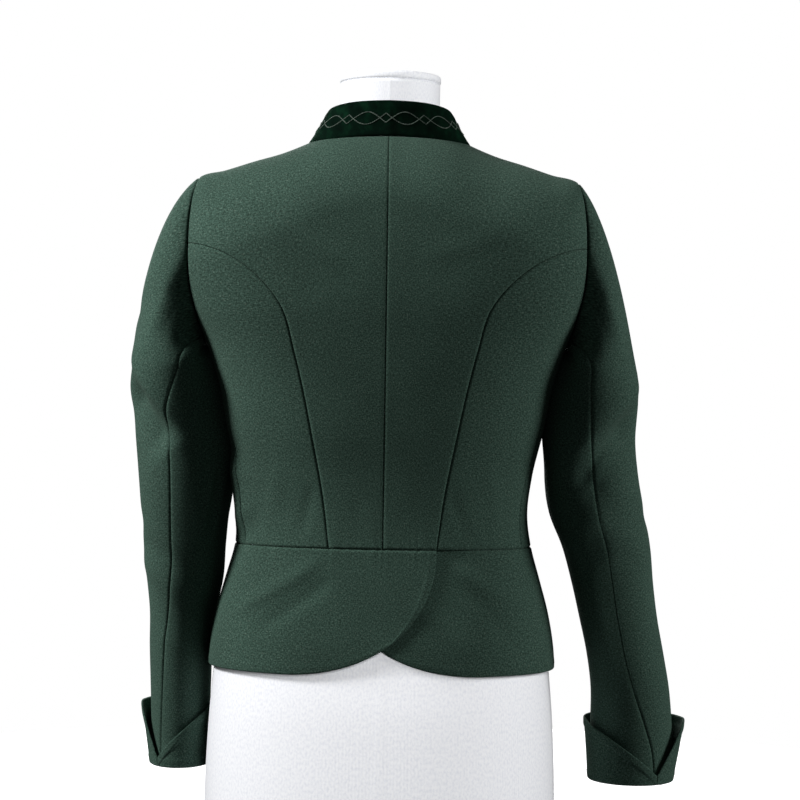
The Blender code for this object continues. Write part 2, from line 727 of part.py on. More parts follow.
def shared_normals(grids, families):
    """Outward directions, the same for every piece where pieces share a point.

    Each family of pieces (bodice, sleeves, collar) counts once, so a seam between two
    families gets the direction midway between them.
    """
    points = np.concatenate([grid.reshape(-1, 3) for grid in grids])
    normals = np.concatenate([corner_normals(grid).reshape(-1, 3) for grid in grids])
    own = normals / np.linalg.norm(normals, axis=1)[:, None]
    keys = np.floor(points / SAME_POINT + SAME_POINT_SHIFT).astype(np.int64)
    _, group = np.unique(keys, axis=0, return_inverse=True)
    group = group.ravel()
    member = np.concatenate([
        np.full(grid.shape[0] * grid.shape[1], family) for grid, family in zip(grids, families)
    ])
    total = np.zeros((group.max() + 1, 3))
    for family in sorted(set(families)):
        direction = np.zeros_like(total)
        np.add.at(direction, group[member == family], own[member == family])
        length = np.linalg.norm(direction, axis=1)[:, None]
        total += direction / np.where(length > 0, length, 1.0)
    total = total[group]
    total = total / np.linalg.norm(total, axis=1)[:, None]
    lean = np.clip(np.sum(own * total, axis=1), STEEPEST_LEAN, 1.0)[:, None]
    total = total / lean
    result = []
    at = 0
    for grid in grids:
        size = grid.shape[0] * grid.shape[1]
        result.append(total[at:at + size].reshape(grid.shape))
        at += size
    return result


def drawn_in(grid, top_gap):
    """Moves the border half a seam gap into the piece, square to its edge."""
    moved = grid.copy()
    side_gap = SEAM_GAP / 2
    borders = (
        (np.s_[0, :], np.s_[1, :], top_gap), (np.s_[-1, :], np.s_[-2, :], side_gap),
        (np.s_[:, 0], np.s_[:, 1], side_gap), (np.s_[:, -1], np.s_[:, -2], side_gap),
    )
    for edge, inside, gap in borders:
        line = grid[edge]
        along = np.gradient(line, axis=0)
        along = along / np.linalg.norm(along, axis=1)[:, None]
        inward = grid[inside] - line
        inward = inward - along * np.sum(inward * along, axis=1)[:, None]
        inward = inward / np.linalg.norm(inward, axis=1)[:, None]
        moved[edge] = moved[edge] + inward * gap
    return moved


def straightened(line, every):
    """Puts the points between every few anchors on the straight lines between them."""
    index = np.arange(len(line))
    anchors = index[::every]
    return np.column_stack([np.interp(index, anchors, line[anchors, c]) for c in range(3)])


def new_object(name, points, faces, material, collection):
    mesh = bpy.data.meshes.new(name)
    mesh.from_pydata((np.asarray(points) * METRES).tolist(), [], faces)
    mesh.update()
    mesh.materials.append(material)
    mesh.polygons.foreach_set("use_smooth", [True] * len(mesh.polygons))
    item = bpy.data.objects.new(name, mesh)
    collection.objects.link(item)
    return item


def cloth_piece(name, outer, normals, wall, material, collection):
    """A closed wall: the outer grid, the same grid one wall further in, and a rim."""
    top_gap = SEAM_GAP / 2
    if "sleeve" in name:
        top_gap += ARMHOLE_EXTRA_GAP
    outer = drawn_in(outer, top_gap)
    inner = outer - normals * wall
    if "under_sleeve" in name:
        outer[0] = straightened(outer[0], UNDER_SLEEVE_FINER)
        inner[0] = straightened(inner[0], UNDER_SLEEVE_FINER)
    rows, columns = outer.shape[:2]
    size = rows * columns
    points = np.concatenate((outer.reshape(-1, 3), inner.reshape(-1, 3)))
    index = np.arange(size).reshape(rows, columns)
    corners = (index[:-1, :-1], index[:-1, 1:], index[1:, 1:], index[1:, :-1])
    quads = np.stack(corners, axis=-1).reshape(-1, 4)
    if name.endswith("_right"):
        quads = quads[:, (1, 2, 3, 0)]
    outside = np.concatenate((quads[:, (0, 1, 2)], quads[:, (0, 2, 3)]))
    inside = outside[:, ::-1] + size
    loop = np.concatenate((index[0, :], index[1:, -1], index[-1, -2::-1], index[-2:0:-1, 0]))
    after = np.roll(loop, -1)
    rim = np.stack((loop, loop + size, after + size, after), axis=-1)
    one = np.linalg.norm(points[rim[:, 0]] - points[rim[:, 2]], axis=1)
    two = np.linalg.norm(points[rim[:, 1]] - points[rim[:, 3]], axis=1)
    rim = np.where((one <= two)[:, None], rim, np.roll(rim, -1, axis=1))
    rim = np.concatenate((rim[:, (0, 1, 2)], rim[:, (0, 2, 3)]))
    faces = np.concatenate((outside, inside, rim)).tolist()
    return new_object(name, points, faces, material, collection)


def closed_stack(name, rings, material, collection):
    """A solid through rings of points, with a flat face at each end."""
    rings = np.asarray(rings)
    rows, sides = rings.shape[:2]
    faces = []
    for row in range(rows - 1):
        for side in range(sides):
            after = (side + 1) % sides
            low = row * sides
            high = low + sides
            faces.append((low + side, low + after, high + after, high + side))
    faces.append(tuple(range(sides - 1, -1, -1)))
    faces.append(tuple(range((rows - 1) * sides, rows * sides)))
    return new_object(name, rings.reshape(-1, 3), faces, material, collection)


def form_ring(z):
    """One ring of the dress form, narrowed by the shoulder ridge and drawn to the neck."""
    angle = np.linspace(0.0, 2 * math.pi, FORM_SIDES, endpoint=False)
    hips = FORM_HIP_RINGS[-1][0]
    if z <= hips:
        half, back, front, square = [table_column(FORM_HIP_RINGS, c, z) for c in (1, 2, 3, 4)]
    else:
        ease, side_ease = [table_column(FORM_EASE, c, z) for c in (1, 2)]
        half, back, front, square = ring_sizes(z)
        half, back, front = half - side_ease, back - ease, front - ease
    reach = np.linspace(0.0, RIDGE[-1][0], 2 * DENSE)
    under_ridge = reach[ridge_height(reach) - FORM_RIDGE_DROP >= z]
    limit = min(half, under_ridge[-1]) if len(under_ridge) else FORM_NECK_HALF_WIDTH
    x = limit * np.cos(angle)
    depth = np.where(np.sin(angle) >= 0, back, front)
    y = np.sign(np.sin(angle)) * depth * np.clip(1 - (np.abs(x) / half) ** square, 0, 1) ** (1 / square)
    if z > hips:
        rounding = shoulder_share(x, z, FORM_RIDGE_DROP) ** FORM_RIDGE_POWER
        y = RIDGE_Y + (y - RIDGE_Y) * rounding
    blend = smooth_step((z - NECK_BLEND[0]) / (NECK_BLEND[1] - NECK_BLEND[0]))
    x = x * (1 - blend) + FORM_NECK_HALF_WIDTH * np.cos(angle) * blend
    neck_y = FORM_NECK_MIDDLE_Y + FORM_NECK_HALF_DEPTH * np.sin(angle)
    y = y * (1 - blend) + neck_y * blend
    return np.column_stack((x, y, np.full(FORM_SIDES, float(z))))


def build_form(material, collection):
    closed_stack("form_body", [form_ring(z) for z in FORM_RING_HEIGHTS], material, collection)
    angle = np.linspace(0.0, 2 * math.pi, FORM_SIDES, endpoint=False)
    rings = []
    base = NECK_TOP_Z + SEAM_GAP
    profile = (
        (CAP_DISC_OVERHANG - 1.0, base), (CAP_DISC_OVERHANG, base + 1.0),
        (CAP_DISC_OVERHANG, base + CAP_DISC_HEIGHT - 2.0),
        (CAP_DISC_OVERHANG - 2.0, base + CAP_DISC_HEIGHT),
    )
    for grow, z in profile:
        rings.append(np.column_stack((
            (FORM_NECK_HALF_WIDTH + grow) * np.cos(angle),
            FORM_NECK_MIDDLE_Y + (FORM_NECK_HALF_DEPTH + grow) * np.sin(angle),
            np.full(FORM_SIDES, z),
        )))
    closed_stack("form_neck_cap", rings, material, collection)


def room_below(cloth, points, out):
    """The least distance from some points to the cloth below them (less than 0 is inside)."""
    direction = mathutils.Vector(-out)
    starts = (points + out * BUTTON_SIGHT) * METRES
    hits = [cloth.ray_cast(mathutils.Vector(start), direction) for start in starts]
    return min(hit[3] for hit in hits) / METRES - BUTTON_SIGHT


def build_buttons(front, material, collection):
    """Domed horn buttons, each square to the front where it sits and just clear of it."""
    mesh = front.data
    cloth = mathutils.bvhtree.BVHTree.FromPolygons(
        [vertex.co for vertex in mesh.vertices], [face.vertices for face in mesh.polygons],
    )
    angle = np.linspace(0.0, 2 * math.pi, BUTTON_SIDES, endpoint=False)
    across = np.array([1.0, 0.0, 0.0])
    heights = np.linspace(BUTTON_TOP_Z, BUTTON_BOTTOM_Z, BUTTON_COUNT)
    for number, z in enumerate(heights, start=1):
        near = np.array([z + BUTTON_RADIUS, z, z - BUTTON_RADIUS])
        above, centre, below = body_point(-math.pi / 2, near)
        up = (above - below) / np.linalg.norm(above - below)
        out = np.cross(across, up)
        circle = (np.outer(np.cos(angle), across) + np.outer(np.sin(angle), up)) * BUTTON_RADIUS
        foot = centre + circle * BUTTON_PROFILE[0][0]
        centre = centre + out * (SEAM_GAP - room_below(cloth, foot, out))
        rings = [
            centre + circle * width + out * BUTTON_THICKNESS * lift
            for width, lift in BUTTON_PROFILE
        ]
        closed_stack(f"button_{number}", rings, material, collection)


def cloth_grids():
    """The outer face of every cloth piece, by name.

    The right front covers the left one; the left peplum covers the right one at the back.
    """
    seams = seam_lines()
    grids = {}
    for name, grid in left_panels(seams).items():
        grids[name + "_left"] = grid
        grids[name + "_right"] = mirrored(grid)
    front_lap = (FRONT_LAP + LAP_FULL_INSIDE, FRONT_LAP + LAP_NONE_INSIDE)
    grids["front_left"] = lapped_under(grids["front_left"], *front_lap, -1)
    peplum = peplum_grid(seams)
    grids["peplum_left"] = lapped_under(peplum, *front_lap, -1)
    corner_x = abs(body_point(seams["waist_back"][-1][0], WAIST_Z)[0])
    back_lap = (-corner_x - LAP_FULL_INSIDE, -corner_x - LAP_NONE_INSIDE)
    grids["peplum_right"] = lapped_under(mirrored(peplum), *back_lap, 1)
    grids["collar"] = collar_grid(seams)
    top, under = sleeve_grids(seams, LEFT_SLEEVE_RINGS, LEFT_SLEEVE_FOLDS, LEFT_CAP_TIP)
    grids["top_sleeve_left"] = top
    grids["under_sleeve_left"] = under
    top, under = sleeve_grids(seams, RIGHT_SLEEVE_RINGS, RIGHT_SLEEVE_FOLDS, RIGHT_CAP_TIP)
    grids["top_sleeve_right"] = mirrored(top)
    grids["under_sleeve_right"] = mirrored(under)
    grids["cuff_left"] = cuff_grid(LEFT_SLEEVE_RINGS, LEFT_CUFF_FLARE)
    grids["cuff_right"] = mirrored(cuff_grid(RIGHT_SLEEVE_RINGS, RIGHT_CUFF_FLARE))
    return grids


def main():
    clear_scene()
    collection = bpy.data.collections.new(COLLECTION_NAME)
    bpy.context.scene.collection.children.link(collection)
    wool = new_material("wool", (0.031, 0.062, 0.044), 0.9)
    velvet = new_material("velvet", (0.004, 0.018, 0.008), 0.8)
    horn = new_material("horn", (0.09, 0.055, 0.03), 0.35)
    jersey = new_material("form_jersey", (0.86, 0.87, 0.9), 0.75)

    grids = cloth_grids()
    normals = shared_normals(list(grids.values()), [family_of(name) for name in grids])
    for (name, grid), direction in zip(grids.items(), normals):
        wall = THICKER_WALLS.get(name, WOOL_WALL)
        cloth = velvet if name == "collar" else wool
        cloth_piece(name, grid, direction, wall, cloth, collection)
    build_form(jersey, collection)
    build_buttons(collection.objects["front_right"], horn, collection)


main()
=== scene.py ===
# %% [markdown]
# # A short folk jacket on a dress form
#
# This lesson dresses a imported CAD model: a fitted woollen jacket with a velvet stand
# collar, seen from behind on a white dress form. The CAD pieces are closed walls with few
# faces. Here each of them gets a fine cloth shell on the same form, with its seams, folds,
# puckers, embroidery and weave. The CAD model is loaded first, because every piece has to
# stay in its box and ride on its body.

# %% Load the frame
import json
import math

import bmesh
import bpy
import mathutils
import numpy as np
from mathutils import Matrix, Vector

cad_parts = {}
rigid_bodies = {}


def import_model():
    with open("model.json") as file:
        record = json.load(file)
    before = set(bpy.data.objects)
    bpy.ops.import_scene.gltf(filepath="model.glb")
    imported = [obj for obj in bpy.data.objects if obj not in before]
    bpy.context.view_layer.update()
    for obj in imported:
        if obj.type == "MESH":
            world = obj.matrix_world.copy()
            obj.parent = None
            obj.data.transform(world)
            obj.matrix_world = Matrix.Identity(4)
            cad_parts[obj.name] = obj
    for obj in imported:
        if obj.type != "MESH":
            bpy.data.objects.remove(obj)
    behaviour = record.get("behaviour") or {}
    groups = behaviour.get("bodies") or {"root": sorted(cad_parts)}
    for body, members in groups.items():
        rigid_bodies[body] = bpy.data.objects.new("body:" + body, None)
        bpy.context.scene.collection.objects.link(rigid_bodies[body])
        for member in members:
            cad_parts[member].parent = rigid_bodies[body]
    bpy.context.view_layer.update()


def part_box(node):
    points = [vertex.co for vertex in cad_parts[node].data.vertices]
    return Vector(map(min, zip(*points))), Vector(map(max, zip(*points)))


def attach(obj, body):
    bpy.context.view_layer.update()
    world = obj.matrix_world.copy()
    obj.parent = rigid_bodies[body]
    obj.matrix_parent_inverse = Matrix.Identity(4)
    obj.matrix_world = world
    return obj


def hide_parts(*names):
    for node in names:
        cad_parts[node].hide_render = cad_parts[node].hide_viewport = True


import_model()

# %% [markdown]
# ## Units and small helpers
#
# A tailor thinks in millimetres, so every size below is in millimetres and becomes metres
# only when a mesh is made. Colours are written as the hex values that a picture editor
# shows; one function turns them into the linear numbers that light is worked out with.

# %% Units, colours and soft steps
METRES = 0.001
# So short a length counts as none; it also stands in for none in a division.
TINY = 1e-9
# Keeps a value just inside its limits.
NUDGE = 1e-6


def linear(hex_colour, alpha=1.0):
    """sRGB hex to linear: a channel c becomes ((c + 0.055) / 1.055)^2.4, or c / 12.92 if dark."""
    channels = [int(hex_colour[k:k + 2], 16) / 255 for k in (1, 3, 5)]
    light = [c / 12.92 if c <= 0.04045 else ((c + 0.055) / 1.055) ** 2.4 for c in channels]
    return tuple(light + [alpha])


def smooth_step(share):
    """0 below 0, 1 above 1, and 3s^2 - 2s^3 between."""
    share = np.clip(share, 0.0, 1.0)
    return share * share * (3.0 - 2.0 * share)


print("mid green in linear light:", [round(c, 3) for c in linear("#2f4639")[:3]])


# %% Cubic tables and smooth paths
def table_column(table, column, at):
    """A cubic through one column of a table, its slope at each row taken from its neighbours."""
    rows = np.array(table, float)
    stops, values = rows[:, 0], rows[:, column]
    slopes = np.gradient(values, stops)
    at = np.clip(np.asarray(at, float), stops[0], stops[-1])
    k = np.clip(np.searchsorted(stops, at) - 1, 0, len(stops) - 2)
    width = stops[k + 1] - stops[k]
    t = (at - stops[k]) / width
    start = values[k] * (2 * t**3 - 3 * t**2 + 1) + slopes[k] * width * (t**3 - 2 * t**2 + t)
    return start + values[k + 1] * (3 * t**2 - 2 * t**3) + slopes[k + 1] * width * (t**3 - t**2)


def lengths_along(points):
    """Distance run so far at each point of a path."""
    steps = np.linalg.norm(np.diff(points, axis=0), axis=1)
    return np.concatenate(([0.0], np.cumsum(steps)))


def path_through(points, count):
    """Many points on a smooth path through a few, in equal steps of length."""
    points = np.array(points, float)
    along = lengths_along(points)
    table = np.column_stack((along, points))
    at = np.linspace(0.0, along[-1], count)
    return np.column_stack([table_column(table, c + 1, at) for c in range(points.shape[1])])


bend = path_through(((0, 0), (30, 0), (30, 30)), 20)
print("a path round a corner of 30 x 30 mm:", round(float(lengths_along(bend)[-1]), 1), "mm")

# %% [markdown]
# ## The camera
#
# The jacket was photographed from straight behind with a long lens, and the camera was
# held about one degree off level. A long lens far away keeps the shoulders and the hem in
# scale with each other. The camera comes first, so that each piece can be judged in the
# same frame as the photograph.

# %% Camera
CAMERA_PLACE = (-0.0145, 2.3, 0.45)
CAMERA_LENS = 103.5
CAMERA_ROLL = math.radians(-0.9)

camera_data = bpy.data.cameras.new("camera")
camera_data.lens = CAMERA_LENS
camera = bpy.data.objects.new("camera", camera_data)
camera.location = CAMERA_PLACE
camera.rotation_euler = (math.radians(90), CAMERA_ROLL, math.radians(180))
bpy.context.scene.collection.objects.link(camera)
bpy.context.scene.camera = camera
print("camera", CAMERA_PLACE, "lens", CAMERA_LENS, "mm")

# %% [markdown]
# ## The body block
#
# A pattern cutter starts from a block, the plain shape of the body. Ours is a stack of
# rounded rings. Each ring is a superellipse, |x/a|^n + |y/b|^n = 1, with its own depth to
# the back and to the front, and a point on it is found from a turn round the body and a
# height. Near the shoulders the depth shrinks along a quarter circle, so that front and
# back meet on a ridge. The rings are those of the CAD model, so the shells lie on it.

# %% Rings and ridge
RIDGE_Y = -8.0
RIDGE_ROUNDING = 90.0
WAIST_Z = 306.0
HEM_Z = 185.5
UNDERARM_Z = 505.0
NECK_HALF_WIDTH = 82.0
NECK_BACK_Z = 708.0
NECK_FRONT_Z = 655.0
FRONT_LAP = 18.0
# Points on a line before it is divided into equal lengths.
DENSE = 400

# Height, half width, depth to the back, depth to the front, squareness.
BODY_RINGS = (
    (180, 173.0, 114, 113, 2.15), (205, 171.5, 112, 112, 2.15), (240, 165.5, 106, 107, 2.15),
    (275, 156.0, 100, 101, 2.15), (306, 147.5, 95, 97, 2.15), (335, 143.5, 93, 98, 2.15),
    (375, 147.5, 94, 104, 2.20), (420, 158.0, 99, 115, 2.25), (465, 167.0, 103, 126, 2.30),
    (505, 179.5, 106, 130, 2.40), (540, 195.0, 108, 128, 2.50), (580, 204.5, 107, 118, 2.60),
    (620, 206.0, 104, 100, 2.60), (660, 206.0, 99, 80, 2.60), (710, 206.0, 90, 62, 2.60),
    (740, 206.0, 84, 56, 2.60),
)
# Distance from the middle, height of the shoulder ridge.
RIDGE = (
    (0, 730), (40, 723), (60, 716), (82, 705), (105, 695.5), (135, 686.5),
    (163, 677.5), (190, 670), (198, 664), (206, 652),
)
print("block:", len(BODY_RINGS), "rings and", len(RIDGE), "places on the ridge")


# %% The block's surface
def ring_sizes(z):
    """Half width, depth back, depth front and squareness of the ring at a height."""
    return [table_column(BODY_RINGS, column, z) for column in (1, 2, 3, 4)]


def ridge_height(x):
    """A cubic through the ridge table, the same on both sides of the middle."""
    return table_column(RIDGE, 1, np.abs(x))


def shoulder_share(x, z, drop=0.0):
    """0 on the ridge and 1 one rounding below it, along a quarter circle."""
    below = np.clip((ridge_height(x) - drop - z) / RIDGE_ROUNDING, 0.0, 1.0)
    return np.sqrt(1.0 - (1.0 - below) ** 2)


def body_point(turn, z):
    """The point at a turn (from the wearer's left towards the back) and a height.

    reach = (|cos/half|^n + |sin/depth|^n)^(-1/n); x and y are reach times cos and sin, and
    y is then drawn to the ridge line near the shoulder.
    """
    turn, z = np.broadcast_arrays(np.asarray(turn, float), np.asarray(z, float))
    half, back, front, square = ring_sizes(z)
    across = np.abs(np.cos(turn)) / half
    deep = np.abs(np.sin(turn)) / np.where(np.sin(turn) >= 0, back, front)
    reach = (across**square + deep**square) ** (-1.0 / square)
    x, y = reach * np.cos(turn), reach * np.sin(turn)
    return np.stack((x, RIDGE_Y + (y - RIDGE_Y) * shoulder_share(x, z), z), axis=-1)


def turn_at(x, z, face):
    """The turn whose point on the back (face 1) or front (face -1) lies at x."""
    half, back, front, square = ring_sizes(z)
    share = np.clip(1.0 - (np.abs(x) / half) ** square, 0.0, 1.0)
    return np.arctan2(face * (back if face > 0 else front) * share ** (1.0 / square), x)


chest = body_point(np.linspace(0, 2 * math.pi, DENSE), UNDERARM_Z)
print("chest round the cloth:", round(float(lengths_along(chest)[-1])), "mm")


# %% Length of cloth over the rounded shoulder
def run_down(x, z):
    """Length of cloth from the ridge down to a height, over the rounded shoulder."""
    drop = np.maximum(ridge_height(x) - z, 0.0)
    rounded = RIDGE_ROUNDING * np.arccos(1.0 - np.minimum(drop / RIDGE_ROUNDING, 1.0))
    return rounded + np.maximum(drop - RIDGE_ROUNDING, 0.0)


def height_at_run(x, run):
    """The height that lies a length of cloth below the ridge: run_down turned round."""
    quarter = RIDGE_ROUNDING * math.pi / 2
    rounded = RIDGE_ROUNDING * (1.0 - np.cos(np.minimum(run, quarter) / RIDGE_ROUNDING))
    return ridge_height(x) - rounded - np.maximum(run - quarter, 0.0)


print("cloth from the ridge to the waist:", round(float(run_down(0.0, WAIST_Z))), "mm")

# %% [markdown]
# ## Seam lines
#
# A seam is a line of turns and heights on the block. The photograph gives the armholes,
# the curved princess seams, the centre back seam and the level waist seam; the hidden
# front gets the plain lines such a jacket has. Both pieces at a seam use the same line, so
# they meet along it. Each line is divided into equal lengths of about 3 mm, fine enough
# for soft folds.

# %% Seam tables
# Distance from the middle, height.
ARMHOLE_BACK = (
    (190, 670), (193.5, 655), (196, 630), (196.5, 602), (196, 580),
    (193.5, 556), (189, 537), (184.5, 520), (181, 510), (179.5, 505),
)
ARMHOLE_FRONT = (
    (190, 670), (184, 652), (179, 625), (176.5, 598), (176.5, 566),
    (177.5, 536), (178.5, 516), (179.5, 505),
)
PRINCESS_BACK = (
    (196.5, 601), (181, 598), (157, 589), (127, 569), (101.5, 539), (88, 495),
    (77.5, 452), (71, 420), (58, 352), (52, 306),
)
PRINCESS_FRONT = (
    (176.5, 598), (158, 594), (134, 577), (110, 546), (96, 508), (88, 455),
    (80, 400), (74, 350), (71, 306),
)
# Height, turn in degrees from straight sideways towards the back.
SIDE_SEAM = ((306, 16), (360, 14), (420, 11), (470, 6), (505, 0))
print("places: armhole", len(ARMHOLE_BACK), "behind and", len(ARMHOLE_FRONT), "in front,",
      "princess", len(PRINCESS_BACK), "and", len(PRINCESS_FRONT), "side", len(SIDE_SEAM))

# %% Dividing a seam into equal lengths
NECK_SPACES = 30
SHOULDER_SPACES = 36
ARMHOLE_TIP_SPACES = 26
ARMHOLE_LOW_SPACES = 36
LONG_SEAM_SPACES = 104
PEPLUM_ROWS = 42
LAP_SPACES = 6
# The higher this power, the sooner the neckline's corner fades out down a panel. From
# about 5 on the front's grid no longer folds over itself there.
CORNER_FADE = 5.0


def face_line(points, face):
    """A seam given as distance from the middle and height, as turns and heights."""
    points = np.asarray(points, float)
    return np.column_stack((turn_at(points[:, 0], points[:, 1], face), points[:, 1]))


def spaced_along(line, spaces):
    """Divides a dense line of turns and heights into equal lengths on the block."""
    along = lengths_along(body_point(line[:, 0], line[:, 1]))
    at = np.linspace(0.0, along[-1], spaces + 1)
    return np.column_stack([np.interp(at, along, line[:, c]) for c in (0, 1)])


def joined(*lines):
    """Lines that share their ends become one."""
    return np.concatenate([lines[0]] + [line[1:] for line in lines[1:]])


print("rows down the back:", ARMHOLE_TIP_SPACES + LONG_SEAM_SPACES)

# %% Neckline, shoulder, middle and front edge
seams = {}
rows = ARMHOLE_TIP_SPACES + LONG_SEAM_SPACES
z = np.linspace(NECK_BACK_Z, WAIST_Z, DENSE)
seams["centre_back"] = spaced_along(np.column_stack((np.full(DENSE, math.pi / 2), z)), rows)
z = np.linspace(NECK_FRONT_Z, WAIST_Z, DENSE)
edge = face_line(np.column_stack((np.full(DENSE, -FRONT_LAP), z)), -1)
seams["front_edge"] = spaced_along(edge, rows)

x = np.linspace(0.0, NECK_HALF_WIDTH, DENSE)
neck_z = NECK_BACK_Z - (NECK_BACK_Z - ridge_height(NECK_HALF_WIDTH)) * (x / NECK_HALF_WIDTH) ** 2
seams["neck_back"] = spaced_along(face_line(np.column_stack((x, neck_z)), 1), NECK_SPACES)

angle = np.linspace(0.0, math.pi / 2, DENSE)
rise = ridge_height(NECK_HALF_WIDTH) - NECK_FRONT_Z
neck = np.column_stack((
    NECK_HALF_WIDTH * np.cos(angle), NECK_FRONT_Z + rise * (1.0 - np.sin(angle))))
seams["neck_front"] = spaced_along(face_line(neck, -1), NECK_SPACES)
seams["neck_front"][-1, 0] = -math.pi / 2


def lap_line(z):
    """Level line from the middle of the front to the edge of the lap."""
    ends = (-math.pi / 2, float(turn_at(-FRONT_LAP, z, -1)))
    return np.column_stack((np.linspace(*ends, LAP_SPACES + 1), np.full(LAP_SPACES + 1, z)))


x = np.linspace(NECK_HALF_WIDTH, ARMHOLE_BACK[0][0], SHOULDER_SPACES + 1)
ridge = np.column_stack((x, ridge_height(x)))
for name, face in (("back", 1), ("front", -1)):
    seams["shoulder_" + name] = face_line(ridge, face)
halves = [lengths_along(body_point(*seams[name].T))[-1] for name in ("neck_back", "neck_front")]
print("neck round the collar seam:", round(2 * float(sum(halves))), "mm")

# %% Armhole, princess, side and waist seams
for name, armhole, princess, face in (
    ("back", ARMHOLE_BACK, PRINCESS_BACK, 1), ("front", ARMHOLE_FRONT, PRINCESS_FRONT, -1),
):
    line = face_line(path_through(armhole, DENSE), face)
    split = int(np.argmin(np.abs(line[:, 1] - princess[0][1])))
    seams["armhole_tip_" + name] = spaced_along(line[:split + 1], ARMHOLE_TIP_SPACES)
    seams["armhole_low_" + name] = spaced_along(line[split:], ARMHOLE_LOW_SPACES)
    seams["armhole_low_" + name][-1] = (0.0, UNDERARM_Z)
    line = face_line(path_through(princess, DENSE), face)
    line[0] = seams["armhole_tip_" + name][-1]
    seams["princess_" + name] = spaced_along(line, LONG_SEAM_SPACES)
z = np.linspace(UNDERARM_Z, WAIST_Z, DENSE)
heights, turns = zip(*SIDE_SEAM)
side = np.column_stack((np.radians(np.interp(z, heights, turns)), z))
seams["side"] = spaced_along(side, LONG_SEAM_SPACES)

corners = (math.pi / 2, seams["princess_back"][-1][0], seams["side"][-1][0],
           seams["princess_front"][-1][0], -math.pi / 2)
wide = NECK_SPACES + SHOULDER_SPACES
for name, first, last, count in zip(
    ("waist_back", "waist_side_back", "waist_side_front", "waist_front"), corners, corners[1:],
    (wide, ARMHOLE_LOW_SPACES, ARMHOLE_LOW_SPACES, wide),
):
    line = np.column_stack((np.linspace(first, last, DENSE), np.full(DENSE, WAIST_Z)))
    seams[name] = spaced_along(line, count)
print("seam lines:", ", ".join(seams))

# %% [markdown]
# ## Materials
#
# Each material is named for the real one and built from noise and waves, so that it needs
# no picture. Wool, velvet and jersey read the piece's own UV map, which holds the flat
# cloth in metres: the weave then follows the cut of each piece. A pattern's scale says how
# often it fits into a metre, so 400 makes grains of 2.5 mm. One small function adds a
# node; what is the same all over a material is set on the shader itself.

# %% One function for nodes
MATERIALS = {}


def add_node(tree, kind, links=(), stops=(), **settings):
    """A node with its settings, values or links for its inputs, and (place, hex) stops."""
    node = tree.nodes.new(kind)
    for key, value in settings.items():
        setattr(node, key, value)
    for socket, value in dict(links).items():
        if isinstance(value, bpy.types.NodeSocket):
            tree.links.new(value, node.inputs[socket])
        else:
            node.inputs[socket].default_value = value
    if stops:
        elements = node.color_ramp.elements
        while len(elements) < len(stops):
            elements.new(0.5)
        for element, (place, colour) in zip(elements, stops):
            element.position = place
            element.color = linear(colour)
    return node


def new_material(name, **shader_values):
    """A material with one Principled shader; keys are socket names with _ for spaces."""
    material = bpy.data.materials.new(name)
    material.use_nodes = True
    shader = material.node_tree.nodes["Principled BSDF"]
    for key, value in shader_values.items():
        shader.inputs[key.replace("_", " ")].default_value = value
    return material, material.node_tree, shader


# %% [markdown]
# ### Mottled fulled wool
#
# The jacket's cloth is a woollen tweed: yarns spun from fibres of several greens with a
# few grey and brown ones, woven and then lightly fulled. From two metres the yarns melt
# into a speckle of about a millimetre and a half, longer along the yarns than across.
# Yarns of 0.8 mm would be under a pixel here, so they are drawn at about twice that.
# Two noises stretched along the warp and the weft are mixed, a third one scatters lighter
# flecks, and a very wide one lets the dye wander a little. Fibres standing out of the
# cloth give it a soft sheen and no gloss at all.

# %% Wool
# Grains per metre along and across the cut, detail and roughness of each noise: grains
# of 1.0 x 2.3 mm, 2.6 x 1.0 mm, 1.6 x 2.1 mm and 71 x 91 mm.
WOOL_NOISES = {
    "warp": (980, 430, 3.0, 0.65), "weft": (380, 1050, 3.0, 0.65),
    "flecks": (620, 480, 1.0, 0.5), "dye": (14, 11, 2.0, 0.5),
}
WOOL_GREENS = ((0.32, "#1c2b24"), (0.45, "#2f443a"), (0.55, "#466055"), (0.68, "#678375"))
WOOL_FLECK = "#859688"

wool, tree, shader = new_material(
    "mottled_green_wool", Roughness=0.95, Sheen_Weight=0.10, Sheen_Roughness=0.6,
    Sheen_Tint=linear("#8fa596"), Specular_IOR_Level=0.12)
cut = add_node(tree, "ShaderNodeUVMap", uv_map="weave")
noises = {}
for name, (along, across, detail, roughness) in WOOL_NOISES.items():
    placed = add_node(tree, "ShaderNodeMapping", {
        "Vector": cut.outputs["UV"], "Scale": (along, across, 1.0)})
    noise = add_node(tree, "ShaderNodeTexNoise", {
        "Vector": placed.outputs["Vector"], "Scale": 1.0, "Detail": detail, "Roughness": roughness})
    noises[name] = noise.outputs["Fac"]
yarns = add_node(tree, "ShaderNodeMath", {0: noises["warp"], 1: noises["weft"]}, operation="ADD")
mottle = add_node(tree, "ShaderNodeMath", {0: yarns.outputs[0], 1: 0.5}, operation="MULTIPLY")
ground = add_node(tree, "ShaderNodeValToRGB", {"Fac": mottle.outputs[0]}, WOOL_GREENS)
light_flecks = add_node(tree, "ShaderNodeMapRange", {
    "Value": noises["flecks"], "From Min": 0.62, "From Max": 0.74, "To Min": 0.0, "To Max": 0.35})
speckled = add_node(tree, "ShaderNodeMix", {
    "Factor": light_flecks.outputs["Result"], "A": ground.outputs["Color"],
    "B": linear(WOOL_FLECK)}, data_type="RGBA")
tone = add_node(tree, "ShaderNodeMapRange", {
    "Value": noises["dye"], "From Min": 0.3, "From Max": 0.7, "To Min": 0.9, "To Max": 1.08})
dyed = add_node(tree, "ShaderNodeHueSaturation", {
    "Color": speckled.outputs["Result"], "Value": tone.outputs["Result"]})
tree.links.new(dyed.outputs["Color"], shader.inputs["Base Color"])
